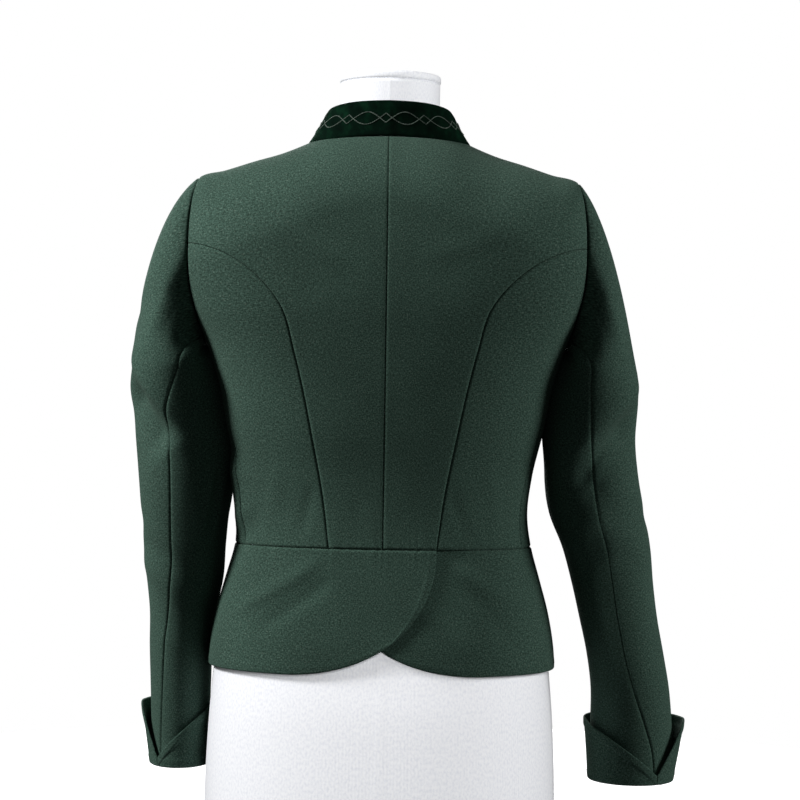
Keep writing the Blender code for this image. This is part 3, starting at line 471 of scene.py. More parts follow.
bump = add_node(tree, "ShaderNodeBump", {
    "Height": mottle.outputs[0], "Strength": 0.35, "Distance": 0.0006})
tree.links.new(bump.outputs["Normal"], shader.inputs["Normal"])
MATERIALS["wool"] = wool
print("wool nodes:", len(tree.nodes))

# %% [markdown]
# ### Cotton velvet
#
# The collar is faced with velvet so dark that it is nearly black from the front. Its pile
# stands up and scatters light sideways, so it brightens where the surface turns away.
# The shader's sheen does just that, and a broad noise adds painted sheen: lighter patches in
# the colour where fingers would lean the pile. The tufts are drawn at a good millimetre so
# that they still show.

# %% Velvet
# Grains per metre: patches of painted sheen of 17 x 22 mm, tufts of 1.1 x 1.4 mm.
PAINTED_SHEEN_SCALE = (60, 45, 1.0)
TUFT_SCALE = (900, 700, 1.0)
VELVET_GREEN_AND_PAINTED_SHEEN = ((0.3, "#020c07"), (0.52, "#04180f"), (0.75, "#0a2d1c"))

velvet, tree, shader = new_material(
    "cotton_velvet", Roughness=1.0, Sheen_Weight=0.55, Sheen_Roughness=0.3,
    Sheen_Tint=linear("#1f6b45"), Specular_IOR_Level=0.05)
cut = add_node(tree, "ShaderNodeUVMap", uv_map="weave")
painted_sheen_place = add_node(tree, "ShaderNodeMapping", {
    "Vector": cut.outputs["UV"], "Scale": PAINTED_SHEEN_SCALE})
painted_sheen = add_node(tree, "ShaderNodeTexNoise", {
    "Vector": painted_sheen_place.outputs["Vector"], "Scale": 1.0, "Detail": 4.0, "Roughness": 0.6})
cropped = add_node(tree, "ShaderNodeMapping", {
    "Vector": cut.outputs["UV"], "Scale": TUFT_SCALE})
tufts = add_node(tree, "ShaderNodeTexNoise", {
    "Vector": cropped.outputs["Vector"], "Scale": 1.0, "Detail": 1.0})
# Painted sheen: the broad noise lightens the velvet's near-black green in patches.
deep = add_node(tree, "ShaderNodeValToRGB", {"Fac": painted_sheen.outputs["Fac"]}, VELVET_GREEN_AND_PAINTED_SHEEN)
tree.links.new(deep.outputs["Color"], shader.inputs["Base Color"])
bump = add_node(tree, "ShaderNodeBump", {
    "Height": tufts.outputs["Fac"], "Strength": 0.3, "Distance": 0.0005})
tree.links.new(bump.outputs["Normal"], shader.inputs["Normal"])
MATERIALS["velvet"] = velvet
print("velvet nodes:", len(tree.nodes))

# %% [markdown]
# ### Embroidery thread, horn and jersey
#
# The thread is a soft mercerised cotton: a little shiny, with the twist of its two plies.
# Horn buttons are sawn and polished, brown with paler streaks along the grain. The form is
# covered in white cotton jersey, whose fine ribs run up and down; a knit with ribs of
# 0.7 mm is drawn four times as coarse so that it still shows.

# %% Thread
# Grains per metre: a ply turns once in 2.4 mm.
PLY_SCALE = 420.0
THREAD_GREYS = ((0.35, "#35443a"), (0.5, "#4c5d50"), (0.68, "#66776a"))

thread, tree, shader = new_material(
    "cotton_embroidery_thread", Roughness=0.6, Sheen_Weight=0.3, Specular_IOR_Level=0.35)
where = add_node(tree, "ShaderNodeTexCoord")
plies = add_node(tree, "ShaderNodeTexNoise", {
    "Vector": where.outputs["Object"], "Scale": PLY_SCALE, "Detail": 2.0})
twisted = add_node(tree, "ShaderNodeValToRGB", {"Fac": plies.outputs["Fac"]}, THREAD_GREYS)
tree.links.new(twisted.outputs["Color"], shader.inputs["Base Color"])
MATERIALS["thread"] = thread
print("thread nodes:", len(tree.nodes))

# %% Horn
# Grains per metre: streaks 17 mm long and wide, and 3 mm high.
GRAIN_SCALE = (60.0, 60.0, 320.0)
HORN_BROWNS = ((0.3, "#2a1a10"), (0.52, "#5a3b22"), (0.72, "#9a7a50"))

horn, tree, shader = new_material(
    "polished_horn", Roughness=0.28, IOR=1.54, Coat_Weight=0.25, Coat_Roughness=0.15)
where = add_node(tree, "ShaderNodeTexCoord")
grain = add_node(tree, "ShaderNodeMapping", {
    "Vector": where.outputs["Object"], "Scale": GRAIN_SCALE})
streaks = add_node(tree, "ShaderNodeTexNoise", {
    "Vector": grain.outputs["Vector"], "Scale": 1.0, "Detail": 5.0, "Distortion": 0.6})
streaked = add_node(tree, "ShaderNodeValToRGB", {"Fac": streaks.outputs["Fac"]}, HORN_BROWNS)
tree.links.new(streaked.outputs["Color"], shader.inputs["Base Color"])
MATERIALS["horn"] = horn
print("horn nodes:", len(tree.nodes))

# %% Jersey
# A band texture repeats 20 / (2 pi) times per unit of its scale, so a rib is 2.9 mm wide;
# the loops are 2.0 x 3.3 mm.
RIB_SCALE = 110.0
LOOP_SCALE = (500, 300, 1.0)
JERSEY_WHITES = ((0.3, "#e4e6ec"), (0.6, "#f2f3f6"))

jersey, tree, shader = new_material(
    "white_cotton_jersey", Roughness=0.85, Sheen_Weight=0.15, Sheen_Roughness=0.5,
    Specular_IOR_Level=0.2)
cut = add_node(tree, "ShaderNodeUVMap", uv_map="weave")
ribs = add_node(tree, "ShaderNodeTexWave", {
    "Vector": cut.outputs["UV"], "Scale": RIB_SCALE, "Distortion": 0.4, "Detail": 1.0},
    wave_type="BANDS", bands_direction="X")
knitted = add_node(tree, "ShaderNodeMapping", {
    "Vector": cut.outputs["UV"], "Scale": LOOP_SCALE})
loops = add_node(tree, "ShaderNodeTexNoise", {
    "Vector": knitted.outputs["Vector"], "Scale": 1.0, "Detail": 2.0})
white = add_node(tree, "ShaderNodeValToRGB", {"Fac": loops.outputs["Fac"]}, JERSEY_WHITES)
tree.links.new(white.outputs["Color"], shader.inputs["Base Color"])
knit = add_node(tree, "ShaderNodeMath", {
    0: ribs.outputs["Fac"], 1: loops.outputs["Fac"]}, operation="ADD")
bump = add_node(tree, "ShaderNodeBump", {
    "Height": knit.outputs[0], "Strength": 0.2, "Distance": 0.0003})
tree.links.new(bump.outputs["Normal"], shader.inputs["Normal"])
MATERIALS["form_jersey"] = jersey
print("materials:", ", ".join(material.name for material in MATERIALS.values()))

# %% [markdown]
# ## Filling a panel between its seams
#
# A panel is a grid between four seam lines. The fill adds what the two pairs of edges ask
# for and takes away what the corners count twice. Panels that reach the shoulder are
# filled by distance from the middle and length of cloth run down, because turns crowd
# together near the ridge; the neckline's corner fades out lower down, so that the rows
# stay even. Doing this with whole arrays keeps thousands of points quick.

# %% Grids between seams
def fill_between(top, bottom, start, end):
    """(1-v) top + v bottom + (1-u) start + u end, less the bilinear mix of the corners."""
    u = np.linspace(0.0, 1.0, len(top))[None, :, None]
    v = np.linspace(0.0, 1.0, len(start))[:, None, None]
    edges = (1 - v) * top[None] + v * bottom[None] + (1 - u) * start[:, None] + u * end[:, None]
    corners = (1 - u) * (1 - v) * top[0] + u * (1 - v) * top[-1]
    return edges - corners - (1 - u) * v * bottom[0] - u * v * bottom[-1]


def panel_by_run(edges, face):
    """Turns and heights of a panel whose top reaches the shoulder."""
    flat = []
    for edge in edges:
        x = body_point(edge[:, 0], edge[:, 1])[:, 0]
        flat.append(np.column_stack((x, run_down(x, edge[:, 1]))))
    top, bottom, start, end = flat
    share = ((bottom[:, 0] - bottom[0, 0]) / (bottom[-1, 0] - bottom[0, 0]))[:, None]
    straight = top[0] + (top[-1] - top[0]) * share
    fade = np.linspace(1.0, 0.0, len(start))[:, None, None] ** CORNER_FADE
    grid = fill_between(straight, bottom, start, end) + (top - straight)[None] * fade
    z = height_at_run(grid[..., 0], grid[..., 1])
    return np.stack((turn_at(grid[..., 0], z, face), z), axis=-1)


panels = {
    "back": panel_by_run((
        joined(seams["neck_back"], seams["shoulder_back"]), seams["waist_back"],
        seams["centre_back"], joined(seams["armhole_tip_back"], seams["princess_back"]),
    ), 1),
    "side_back": fill_between(
        seams["armhole_low_back"], seams["waist_side_back"], seams["princess_back"], seams["side"]),
    "side_front": fill_between(
        seams["armhole_low_front"][::-1], seams["waist_side_front"], seams["side"],
        seams["princess_front"]),
    "front": panel_by_run((
        joined(seams["shoulder_front"][::-1], seams["neck_front"], lap_line(NECK_FRONT_Z)),
        joined(seams["waist_front"], lap_line(WAIST_Z)),
        joined(seams["armhole_tip_front"], seams["princess_front"]), seams["front_edge"],
    ), -1),
}
for name, grid in panels.items():
    print(name, "grid", grid.shape[0], "x", grid.shape[1])

# %% [markdown]
# ## Folds placed one by one
#
# Woollen cloth that is cut close hardly drapes: it shows a few long soft folds where the
# body pulls, and small puckers at the seams. A simulation would scatter folds at random,
# so each one is given instead: a path over the flat cloth, a width on each side
# of it, and a height. The two widths differ where cloth hangs over, as at the elbow,
# where the fold is blunt above and drops steeply below.

# %% One fold, and puckers along a seam
FOLD_END_SHARE = 0.3
FOLD_PATH_POINTS = 14
# A slow wave, so many pitches long, pushes the ripples to and fro by so many radians.
DRIFT_PITCHES = 3.3
DRIFT = 1.7
# Another one makes them taller and flatter: its length, its start, and mean and swing.
SWELL_PITCHES = 5.1
SWELL_START = 0.8
SWELL_MEAN = 0.6
SWELL_SWING = 0.4


def fold(flat, path, left_width, right_width, height):
    """height * exp(-(aside / width)^2), by the nearest place on the path.

    The width depends on the side of the path that a point lies on, and the height eases
    in and out over the path's ends.
    """
    path = path_through(path, FOLD_PATH_POINTS)
    runs = np.diff(path, axis=0)
    off = flat[..., None, :] - path[:-1]
    share = np.clip((off * runs).sum(-1) / (runs**2).sum(-1), 0.0, 1.0)
    gap = off - share[..., None] * runs
    distance = np.linalg.norm(gap, axis=-1)
    nearest = distance.argmin(-1)[..., None]
    side = runs[:, 0] * gap[..., 1] - runs[:, 1] * gap[..., 0]
    along = (np.arange(len(runs)) + share) / len(runs)
    distance, side, along = [
        np.take_along_axis(a, nearest, -1)[..., 0] for a in (distance, side, along)]
    width = np.where(side > 0, left_width, right_width)
    ends = smooth_step(along / FOLD_END_SHARE) * smooth_step((1 - along) / FOLD_END_SHARE)
    return height * np.exp(-(distance / width) ** 2) * ends


def puckers(along, aside, pitch, reach, height):
    """height * swell * sin(2 pi along / pitch + drift) * exp(-|aside| / reach).

    Drift and swell are slower sines of unlike pitch, so that no two ripples are the same.
    """
    drift = DRIFT * np.sin(2 * math.pi * along / (DRIFT_PITCHES * pitch))
    wave = np.sin(2 * math.pi * along / pitch + drift)
    swell = SWELL_MEAN + SWELL_SWING * np.sin(
        2 * math.pi * along / (SWELL_PITCHES * pitch) + SWELL_START)
    return height * wave * swell * np.exp(-np.abs(aside) / reach)


crest = fold(np.zeros((1, 2)), ((-50, 0), (0, 0), (50, 0)), 10, 10, 1.0)
print("a fold of 1 mm is", round(float(crest[0]), 2), "mm high in its middle")

# %% [markdown]
# ## From a grid to a cloth shell
#
# A seam is where two turned-in edges meet, so each panel's border rolls down into the
# seam over about 2 mm; the pair reads as a thin dark line, as on the real jacket. Free
# edges roll less, and the allowance folded behind them shows as a faint ridge. The
# grid gets extra lines near its borders for that roll. The shell then gets its wall from
# a Solidify modifier, inwards, so that the outer face stays on the block.

# %% Borders that roll into a seam
WOOL_WALL = 1.8
# How deep a border rolls in, and from how far.
SEAM_ROLL = (1.5, 2.6)
EDGE_ROLL = (0.8, 1.6)
# The folded allowance: height, distance from the edge, half width.
EDGE_RIDGE = (0.35, 6.5, 2.4)
# Open space between two pieces at a seam; the white form shows through a wider one. A
# border never moves by more than this share of its first space.
SEAM_GAP = 0.05
DRAW_LIMIT = 0.4
BORDER_SHARES = np.array((0.12, 0.3, 0.5, 0.75))


def with_border_lines(grid):
    """Adds lines between the outermost two on each side, by linear mix."""
    for axis in (0, 1):
        last = grid.shape[axis] - 1
        places = np.concatenate((
            [0.0], BORDER_SHARES, np.arange(1, last), last - BORDER_SHARES[::-1], [last]))
        low = np.minimum(places.astype(int), last - 1)
        part = (places - low).reshape((-1, 1, 1) if axis == 0 else (1, -1, 1))
        grid = np.take(grid, low, axis) * (1 - part) + np.take(grid, low + 1, axis) * part
    return grid


def outward(points):
    """Unit normals: the cross product of the grid's directions, across then down."""
    normal = np.cross(np.gradient(points, axis=1), np.gradient(points, axis=0))
    return normal / np.maximum(np.linalg.norm(normal, axis=-1), TINY)[..., None]


def border_distances(points):
    """Length along the grid's lines from each border, for top, bottom, start and end."""
    down = np.linalg.norm(np.diff(points, axis=0), axis=-1)
    down = np.concatenate((np.zeros((1, points.shape[1])), np.cumsum(down, axis=0)))
    across = np.linalg.norm(np.diff(points, axis=1), axis=-1)
    across = np.concatenate((np.zeros((points.shape[0], 1)), np.cumsum(across, axis=1)), axis=1)
    return down, down[-1] - down, across, across[:, -1:] - across


def rolled(points, kinds):
    """Sinks each border by depth * (1 - distance/width)^2; kinds are seam, edge or none."""
    sunk = np.zeros(points.shape[:2])
    raised = np.zeros(points.shape[:2])
    for kind, distance in zip(kinds, border_distances(points)):
        if kind == "none":
            continue
        depth, width = SEAM_ROLL if kind == "seam" else EDGE_ROLL
        sunk = np.maximum(sunk, depth * np.clip(1 - distance / width, 0, 1) ** 2)
        if kind == "edge":
            height, middle, spread = EDGE_RIDGE
            raised = np.maximum(raised, height * np.exp(-((distance - middle) / spread) ** 2))
    return points + outward(points) * (raised - sunk)[..., None]


def drawn_in(points):
    """Moves the four borders half a seam gap into the piece."""
    moved = points.copy()
    for edge, inside in ((np.s_[0], np.s_[1]), (np.s_[-1], np.s_[-2]),
                         (np.s_[:, 0], np.s_[:, 1]), (np.s_[:, -1], np.s_[:, -2])):
        step = points[inside] - points[edge]
        length = np.maximum(np.linalg.norm(step, axis=-1), TINY)[..., None]
        moved[edge] = moved[edge] + step / length * np.minimum(SEAM_GAP / 2, DRAW_LIMIT * length)
    return moved


print("a grid of 10 x 10 lines gets", with_border_lines(np.zeros((10, 10, 3))).shape[:2])

# %% Mesh, map of the weave, and the calls that tie a piece to the frame
WELD = 1e-7


def grid_faces(rows, columns, close=False):
    """Four corners of each space of a grid; close joins the last column to the first."""
    index = np.arange(rows * columns).reshape(rows, columns)
    if close:
        index = np.concatenate((index, index[:, :1]), axis=1)
    corners = (index[:-1, :-1], index[:-1, 1:], index[1:, 1:], index[1:, :-1])
    return np.stack(corners, axis=-1).reshape(-1, 4)


def new_piece(name, points, faces, material, replaced=(), weave=None, weld=False):
    """A mesh object in the frame, smooth, with the flat cloth as its UV map, in metres.

    Weld closes poles and the line where a grid meets itself, by merging equal points.
    """
    mesh = bpy.data.meshes.new(name)
    points = np.asarray(points, float).reshape(-1, 3) * METRES
    mesh.vertices.add(len(points))
    mesh.vertices.foreach_set("co", points.ravel())
    faces = np.asarray(faces)
    mesh.loops.add(faces.size)
    mesh.loops.foreach_set("vertex_index", faces.ravel())
    mesh.polygons.add(len(faces))
    mesh.polygons.foreach_set("loop_start", np.arange(len(faces)) * faces.shape[1])
    mesh.update(calc_edges=True)
    mesh.polygons.foreach_set("use_smooth", np.ones(len(faces), bool))
    if weave is not None:
        layer = mesh.uv_layers.new(name="weave")
        layer.data.foreach_set("uv", (weave.reshape(-1, 2) * METRES)[faces.ravel()].ravel())
    if weld:
        welded = bmesh.new()
        welded.from_mesh(mesh)
        bmesh.ops.remove_doubles(welded, verts=welded.verts, dist=WELD)
        welded.to_mesh(mesh)
        welded.free()
    mesh.materials.append(MATERIALS[material])
    piece = bpy.data.objects.new(name, mesh)
    bpy.context.scene.collection.objects.link(piece)
    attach(piece, "root")
    if replaced:
        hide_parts(*replaced)
    return piece


def cloth_shell(name, points, weave, kinds, wall, cloth="wool"):
    """A sheet of cloth on its solid: borders rolled, wall inwards, its flat cut as the UV map."""
    both = with_border_lines(np.concatenate((points, weave), axis=-1))
    points = drawn_in(rolled(both[..., :3], kinds))
    rows, columns = points.shape[:2]
    shown = name + "_cloth"
    faces = grid_faces(rows, columns)
    piece = new_piece(shown, points, faces, cloth, (name,), both[..., 3:])
    solidify = piece.modifiers.new("wall", "SOLIDIFY")
    solidify.thickness = wall * METRES
    solidify.offset = -1.0
    solidify.use_even_offset = False
    return piece

# %% [markdown]
# ## The bodice
#
# The bodice is cut in four pieces on each side: back, side back, side front and front. The
# curved princess seams take in the waist, so the cloth lies close without darts. What is
# left are a few faint drags: across the shoulder blades, and where the seams pull in above
# the waist. The right half is the left half mirrored, but the drags are each side's own.

# %% Table of the body's drags
FLAT_RADIUS = 150.0
# Pitch, reach, height.
WAIST_PUCKER = (13.0, 14.0, 0.3)

# Places (distance from the middle, height), face, width left and right of the path, height.
# The wearer's left is positive; the photograph shows it on the left. The row of 8 mm is
# no drag: there the side back stands out towards the left sleeve, over the waist.
BODY_FOLDS = (
    (((136, 626), (82, 602), (26, 573)), 1, 13, 9, 0.9),
    (((150, 600), (100, 566), (60, 540)), 1, 14, 12, -0.7),
    (((-132, 618), (-84, 600), (-30, 584)), 1, 12, 9, 0.7),
    (((-120, 655), (-80, 640), (-44, 640)), 1, 12, 12, -0.5),
    (((66, 372), (74, 340), (80, 311)), 1, 9, 8, -1.1),
    (((100, 392), (108, 350), (116, 309)), 1, 9, 11, 0.9),
    (((-64, 365), (-74, 335), (-82, 311)), 1, 8, 9, -0.9),
    (((-96, 398), (-108, 356), (-112, 309)), 1, 10, 9, 0.8),
    (((135, 312), (138, 338), (144, 372), (148, 402)), 1, 24, 24, 8.0),
    (((22, 348), (12, 330), (14, 309)), 1, 9, 9, 0.5),
    (((51, 300), (98, 268), (152, 236)), 1, 10, 7, 2.2),
    (((40, 284), (82, 252), (130, 220)), 1, 9, 8, -1.7),
    (((-58, 299), (-104, 268), (-150, 246)), 1, 8, 9, 1.3),
    (((-70, 280), (-108, 240), (-132, 204)), 1, 10, 10, -1.1),
    (((-20, 262), (-62, 232), (-92, 200)), 1, 12, 12, 0.9),
    (((118, 590), (92, 545), (84, 500)), -1, 12, 12, 1.0),
    (((-116, 585), (-92, 548), (-80, 498)), -1, 12, 11, 0.9),
    (((70, 380), (78, 340), (84, 311)), -1, 9, 9, -1.0),
    (((-74, 372), (-80, 338), (-84, 311)), -1, 9, 9, -0.9),
    (((60, 298), (104, 262), (140, 226)), -1, 9, 8, 1.6),
    (((-56, 298), (-100, 266), (-142, 230)), -1, 9, 8, 1.4),
)
print("drags on the body:", len(BODY_FOLDS))


# %% The body's surface with its drags
def flat_place(x, z, face):
    """Distance round the block from the middle of the back, on the side where x lies."""
    turn = turn_at(x, z, face)
    turn = np.where(turn < -math.pi / 2, turn + 2 * math.pi, turn)
    return FLAT_RADIUS * (math.pi / 2 - turn)


def body_folds(flat):
    """The sum of all drags, and puckers under and over the waist seam."""
    total = np.zeros(flat.shape[:-1])
    for places, face, left_width, right_width, height in BODY_FOLDS:
        x, z = np.array(places, float).T
        path = np.column_stack((flat_place(x, z, face), z))
        total += fold(flat, path, left_width, right_width, height)
    return total + puckers(flat[..., 0], flat[..., 1] - WAIST_Z, *WAIST_PUCKER)


def body_surface(grid):
    """Points of the block with the drags on it, and the same places on the flat cloth."""
    turn, z = grid[..., 0], grid[..., 1]
    flat = np.stack((FLAT_RADIUS * (math.pi / 2 - turn), z), axis=-1)
    points = body_point(turn, z)
    points = points + outward(points) * body_folds(flat)[..., None]
    down = ridge_height(points[..., 0]) - run_down(points[..., 0], z)
    return points, np.stack((flat[..., 0], down), axis=-1)


def mirrored_turns(grid):
    """The wearer's right piece: half a turn less the turn, and the columns run backwards."""
    return np.stack((math.pi - grid[..., 0], grid[..., 1]), axis=-1)[:, ::-1]


# %% [markdown]
# ## Where cloth lies under cloth
#
# The right front buttons over the left, and at the back the left peplum crosses over the
# right one. The covered part sinks by a little more than a wall. The step is eased in over
# 40 mm, as pressed cloth does it, and its top edge tucks up behind the waist seam.

# %% Laps
LAP_DROP = 3.2
LAP_TUCK = 1.2
LAP_FULL_INSIDE = 4.0
LAP_NONE_INSIDE = 44.0


def lapped_under(points, full_at, none_at, face):
    """Sinks by LAP_DROP * smooth share from none_at to full_at along x, on one face."""
    share = smooth_step((points[..., 0] - none_at) / (full_at - none_at))
    share = share * (points[..., 1] * face > 0)
    sunk = points - outward(points) * (LAP_DROP * share)[..., None]
    sunk[0, :, 2] += LAP_TUCK * share[0] ** 2
    return sunk


front_lap = (FRONT_LAP + LAP_FULL_INSIDE, FRONT_LAP + LAP_NONE_INSIDE)
SEAMED = ("seam", "seam", "seam", "seam")
for name, grid in panels.items():
    kinds = ("seam", "seam", "seam", "edge") if name == "front" else SEAMED
    points, weave = body_surface(grid)
    if name == "front":
        points = lapped_under(points, *front_lap, -1)
    cloth_shell(name + "_left", points, weave, kinds, WOOL_WALL)
    points, weave = body_surface(mirrored_turns(grid))
    mirrored_kinds = (kinds[0], kinds[1], kinds[3], kinds[2])
    cloth_shell(name + "_right", points, weave, mirrored_kinds, WOOL_WALL)

# %% [markdown]
# ## The peplum
#
# Below the waist seam hangs a flared band, rounded off at the back like a tulip petal: the
# left one crosses over the right. Its rounded corner is a quarter of a superellipse, and
# the band's start and hem are two halves of that one curve, so the grid runs round the
# corner without a kink.

# %% Peplum
TULIP_REACH = 151.0
TULIP_HEIGHT = WAIST_Z - HEM_Z
TULIP_SQUARENESS = 2.2


def peplum_turns():
    """Turns and heights of the left peplum, filled between its four edges.

    The corner is x = flat - reach * cos(a)^p, z = waist - height * sin(a)^p.
    """
    back = seams["waist_back"]
    across = back[::-1].copy()
    across[:, 0] = math.pi - across[:, 0]
    top = joined(across, back, seams["waist_side_back"], seams["waist_side_front"],
                 seams["waist_front"], lap_line(WAIST_Z))
    flat_x = body_point(top[0, 0], WAIST_Z)[0] + TULIP_REACH
    flat_turn = turn_at(flat_x, HEM_Z, 1)
    power = 2.0 / TULIP_SQUARENESS

    def round_line(angle):
        """The corner's curve at each angle, as turns and heights."""
        x = flat_x - TULIP_REACH * np.cos(angle) ** power
        return face_line(np.column_stack((x, WAIST_Z - TULIP_HEIGHT * np.sin(angle) ** power)), 1)

    start = round_line(np.linspace(0.0, math.pi / 4, PEPLUM_ROWS + 1))
    start[0] = top[0]
    bottom = top.copy()
    bottom[:, 1] = HEM_Z
    rounded = top[:, 0] > flat_turn
    share = (top[0, 0] - top[rounded, 0]) / (top[0, 0] - flat_turn)
    bottom[rounded] = round_line(math.pi / 4 * (1.0 + share))
    end_z = np.linspace(WAIST_Z, HEM_Z, PEPLUM_ROWS + 1)
    end = np.column_stack((np.full(PEPLUM_ROWS + 1, top[-1, 0]), end_z))
    return fill_between(top, bottom, start, end)


HANGING = ("seam", "edge", "edge", "edge")
peplum = peplum_turns()
points, weave = body_surface(peplum)
points = lapped_under(points, *front_lap, -1)
cloth_shell("peplum_left", points, weave, HANGING, WOOL_WALL)
corner_x = float(body_point(seams["waist_back"][-1][0], WAIST_Z)[0])
points, weave = body_surface(mirrored_turns(peplum))
points = lapped_under(points, -corner_x - LAP_FULL_INSIDE, -corner_x - LAP_NONE_INSIDE, 1)
cloth_shell("peplum_right", points, weave, HANGING, WOOL_WALL)

# %% [markdown]
# ## Sleeves
#
# Each sleeve is a bent two-piece tube: a top sleeve with the head, and a narrow under
# sleeve. The head leaves the armhole outwards and turns down into the upper arm. That turn
# is a Hermite curve for every point of the armhole, p = (2t^3-3t^2+1) a + (t^3-2t^2+t) u
# + (3t^2-2t^3) b + (t^3-t^2) v, whose runs u and v are mixed from those of the tip, back,
# underarm and front by the point's angle round the armhole. Below it, rings from a table
# follow the arm. A hanging sleeve has no arm in it, so the cloth breaks at the elbow
# height into one long slanting fold that hangs over a hollow, with thin creases beside it.

# %% Sleeve tables
# Height, outer edge, inner edge, middle from front to back, half depth, hind seam's turn.
LEFT_SLEEVE_RINGS = (
    (480, 254.0, 174.5, -8, 62, 104), (466, 255.5, 169.2, -8, 61, 96),
    (450, 255.5, 165.3, -8, 60, 88), (434, 253.5, 162.2, -8, 59, 82),
    (416, 251.0, 159.3, -8, 58, 80), (396, 248.5, 157.5, -8, 57, 80),
    (370, 246.0, 158.0, -8, 56, 80), (340, 243.5, 158.5, -9, 55, 79),
    (305, 240.5, 158.5, -12, 53, 77), (270, 237.5, 160.5, -18, 52, 75),
    (235, 234.5, 167.5, -24, 50, 71), (200, 234.5, 171.5, -28, 49, 66),
    (165, 233.5, 172.5, -31, 47, 61), (130, 232.5, 173.5, -34, 46, 57),
    (105, 232.0, 174.0, -36, 45, 55), (82, 231.0, 174.5, -37, 45, 54),
)
RIGHT_SLEEVE_RINGS = (
    (480, 251.0, 174.5, -8, 62, 104), (466, 252.5, 169.2, -8, 61, 102),
    (450, 253.0, 165.3, -8, 60, 99), (434, 252.0, 162.2, -8, 59, 96),
    (416, 251.5, 160.3, -8, 58, 94), (396, 252.5, 160.0, -8, 57, 93),
    (370, 255.5, 161.0, -7, 56, 93), (340, 261.5, 165.5, -6, 54, 93),
    (305, 267.5, 179.5, -6, 53, 94), (270, 271.0, 189.5, -8, 51, 95),
    (235, 276.0, 198.0, -11, 50, 96), (200, 283.0, 206.0, -14, 49, 96),
    (165, 289.5, 211.0, -17, 47, 90), (130, 293.0, 211.5, -19, 46, 76),
    (105, 294.0, 212.0, -20, 45, 66), (74, 293.0, 212.5, -21, 45, 60),
)
FORE_SEAM_TURN = 240.0
HEAD_ROWS = 56
TUBE_STEP = 2.8
UNDER_COLUMNS = 56
TUBE_RADIUS = 50.0
FOLD_ONSET = 0.3
# Pitch, reach, height; the puckers grow over a few millimetres next to the seam.
HEAD_PUCKER = (12.0, 7.0, 0.35)
HEAD_PUCKER_START = 3.0

# Run sideways, backwards and up at the armhole, then sideways and up at the first ring.
LEFT_CAP_TIP = (125.0, 0.0, -88.0, 8.0, -215.0)
RIGHT_CAP_TIP = (85.0, 0.0, -88.0, 45.0, -215.0)
CAP_BACK = (62.0, 30.0, -45.0, 0.0, -130.0)
CAP_UNDER = (17.0, 0.0, -8.0, 0.0, -30.0)
CAP_FRONT = (78.0, -18.0, -45.0, 0.0, -130.0)
# How fast the tip's and the underarm's share falls with the angle: cos(role)^power.
TIP_POWER = 1.5
UNDER_POWER = 2

# Places (turn in degrees from straight outwards to the back, height), width on the upper
# and the lower side, height. Turns below 0 and above 240 are on the hidden front. The last
# row of each bows the under sleeve out towards the body.
LEFT_SLEEVE_FOLDS = (
    (((4, 500), (32, 485), (59, 461), (87, 435), (106, 414)), 22, 10, 4.2),
    (((16, 468), (40, 444), (64, 420), (86, 396)), 14, 26, -11.0),
    (((112, 640), (120, 580), (118, 500), (108, 440)), 14, 30, 7.5),
    (((60, 640), (64, 580), (66, 520)), 20, 20, -3.5),
    (((-20, 548), (14, 530), (46, 500)), 12, 9, -1.6),
    (((40, 452), (84, 410), (112, 384)), 9, 6, 1.2),
    (((138, 390), (131, 350), (117, 306)), 4, 2.5, 1.9),
    (((146, 386), (138, 346), (125, 304)), 3, 3, -1.4),
    (((157, 384), (144, 322), (134, 300)), 4, 2.5, 1.7),
    (((10, 310), (70, 292), (140, 262)), 12, 10, -2.2),
    (((-20, 292), (50, 272), (110, 240)), 12, 10, 1.6),
    (((40, 214), (90, 204), (130, 180)), 10, 9, 0.9),
    (((250, 470), (300, 440), (350, 420)), 12, 6, 3.2),
    (((236, 450), (286, 418), (338, 396)), 7, 12, -2.4),
    (((-60, 340), (-20, 322), (30, 330)), 11, 10, -1.6),
    (((200, 400), (190, 360), (196, 320)), 6, 5, 1.3),
    (((60, 600), (72, 560), (80, 524)), 8, 10, 1.1),
    (((172, 680), (174, 500), (182, 290)), 26, 26, 10.0),
)
RIGHT_SLEEVE_FOLDS = (
    (((-8, 476), (20, 468), (45, 455), (90, 423), (125, 393), (156, 362)), 26, 10, 4.5),
    (((14, 446), (40, 428), (72, 402), (103, 376), (130, 348)), 14, 26, -11.0),
    (((112, 640), (120, 580), (118, 500), (108, 440)), 14, 30, 7.0),
    (((60, 640), (64, 580), (66, 520)), 20, 20, -3.0),
    (((34, 424), (74, 396), (104, 366), (140, 344)), 10, 7, 1.4),
    (((52, 336), (100, 322), (166, 294)), 13, 10, 2.6),
    (((44, 312), (96, 298), (160, 270)), 9, 12, -1.9),
    (((150, 360), (142, 326), (134, 290)), 4, 3, 1.2),
    (((20, 262), (80, 246), (128, 214)), 12, 10, 1.1),
    (((250, 470), (300, 440), (350, 420)), 12, 6, 3.2),
    (((240, 446), (290, 416), (340, 392)), 7, 12, -2.6),
    (((-60, 352), (-10, 336), (30, 344)), 11, 10, -1.6),
    (((204, 404), (196, 362), (202, 318)), 6, 5, 1.2),
    (((56, 606), (70, 566), (78, 530)), 9, 9, 1.0),
    (((172, 680), (174, 520), (180, 380)), 24, 24, 8.5),
)
print("sleeve folds: left", len(LEFT_SLEEVE_FOLDS), "right", len(RIGHT_SLEEVE_FOLDS))


# %% Rings down the arm, and places round the armhole
def tube_rings(rings, z, turn):
    """x and y on a ring: its middle plus half its width times cos, half its depth times sin."""
    rows = rings[::-1]
    outer, inner, middle, deep = [table_column(rows, c, z) for c in (1, 2, 3, 4)]
    angle = np.radians(turn)
    x = (outer + inner) / 2 + (outer - inner) / 2 * np.cos(angle)
    return np.stack(np.broadcast_arrays(x, middle + deep * np.sin(angle), z), axis=-1)


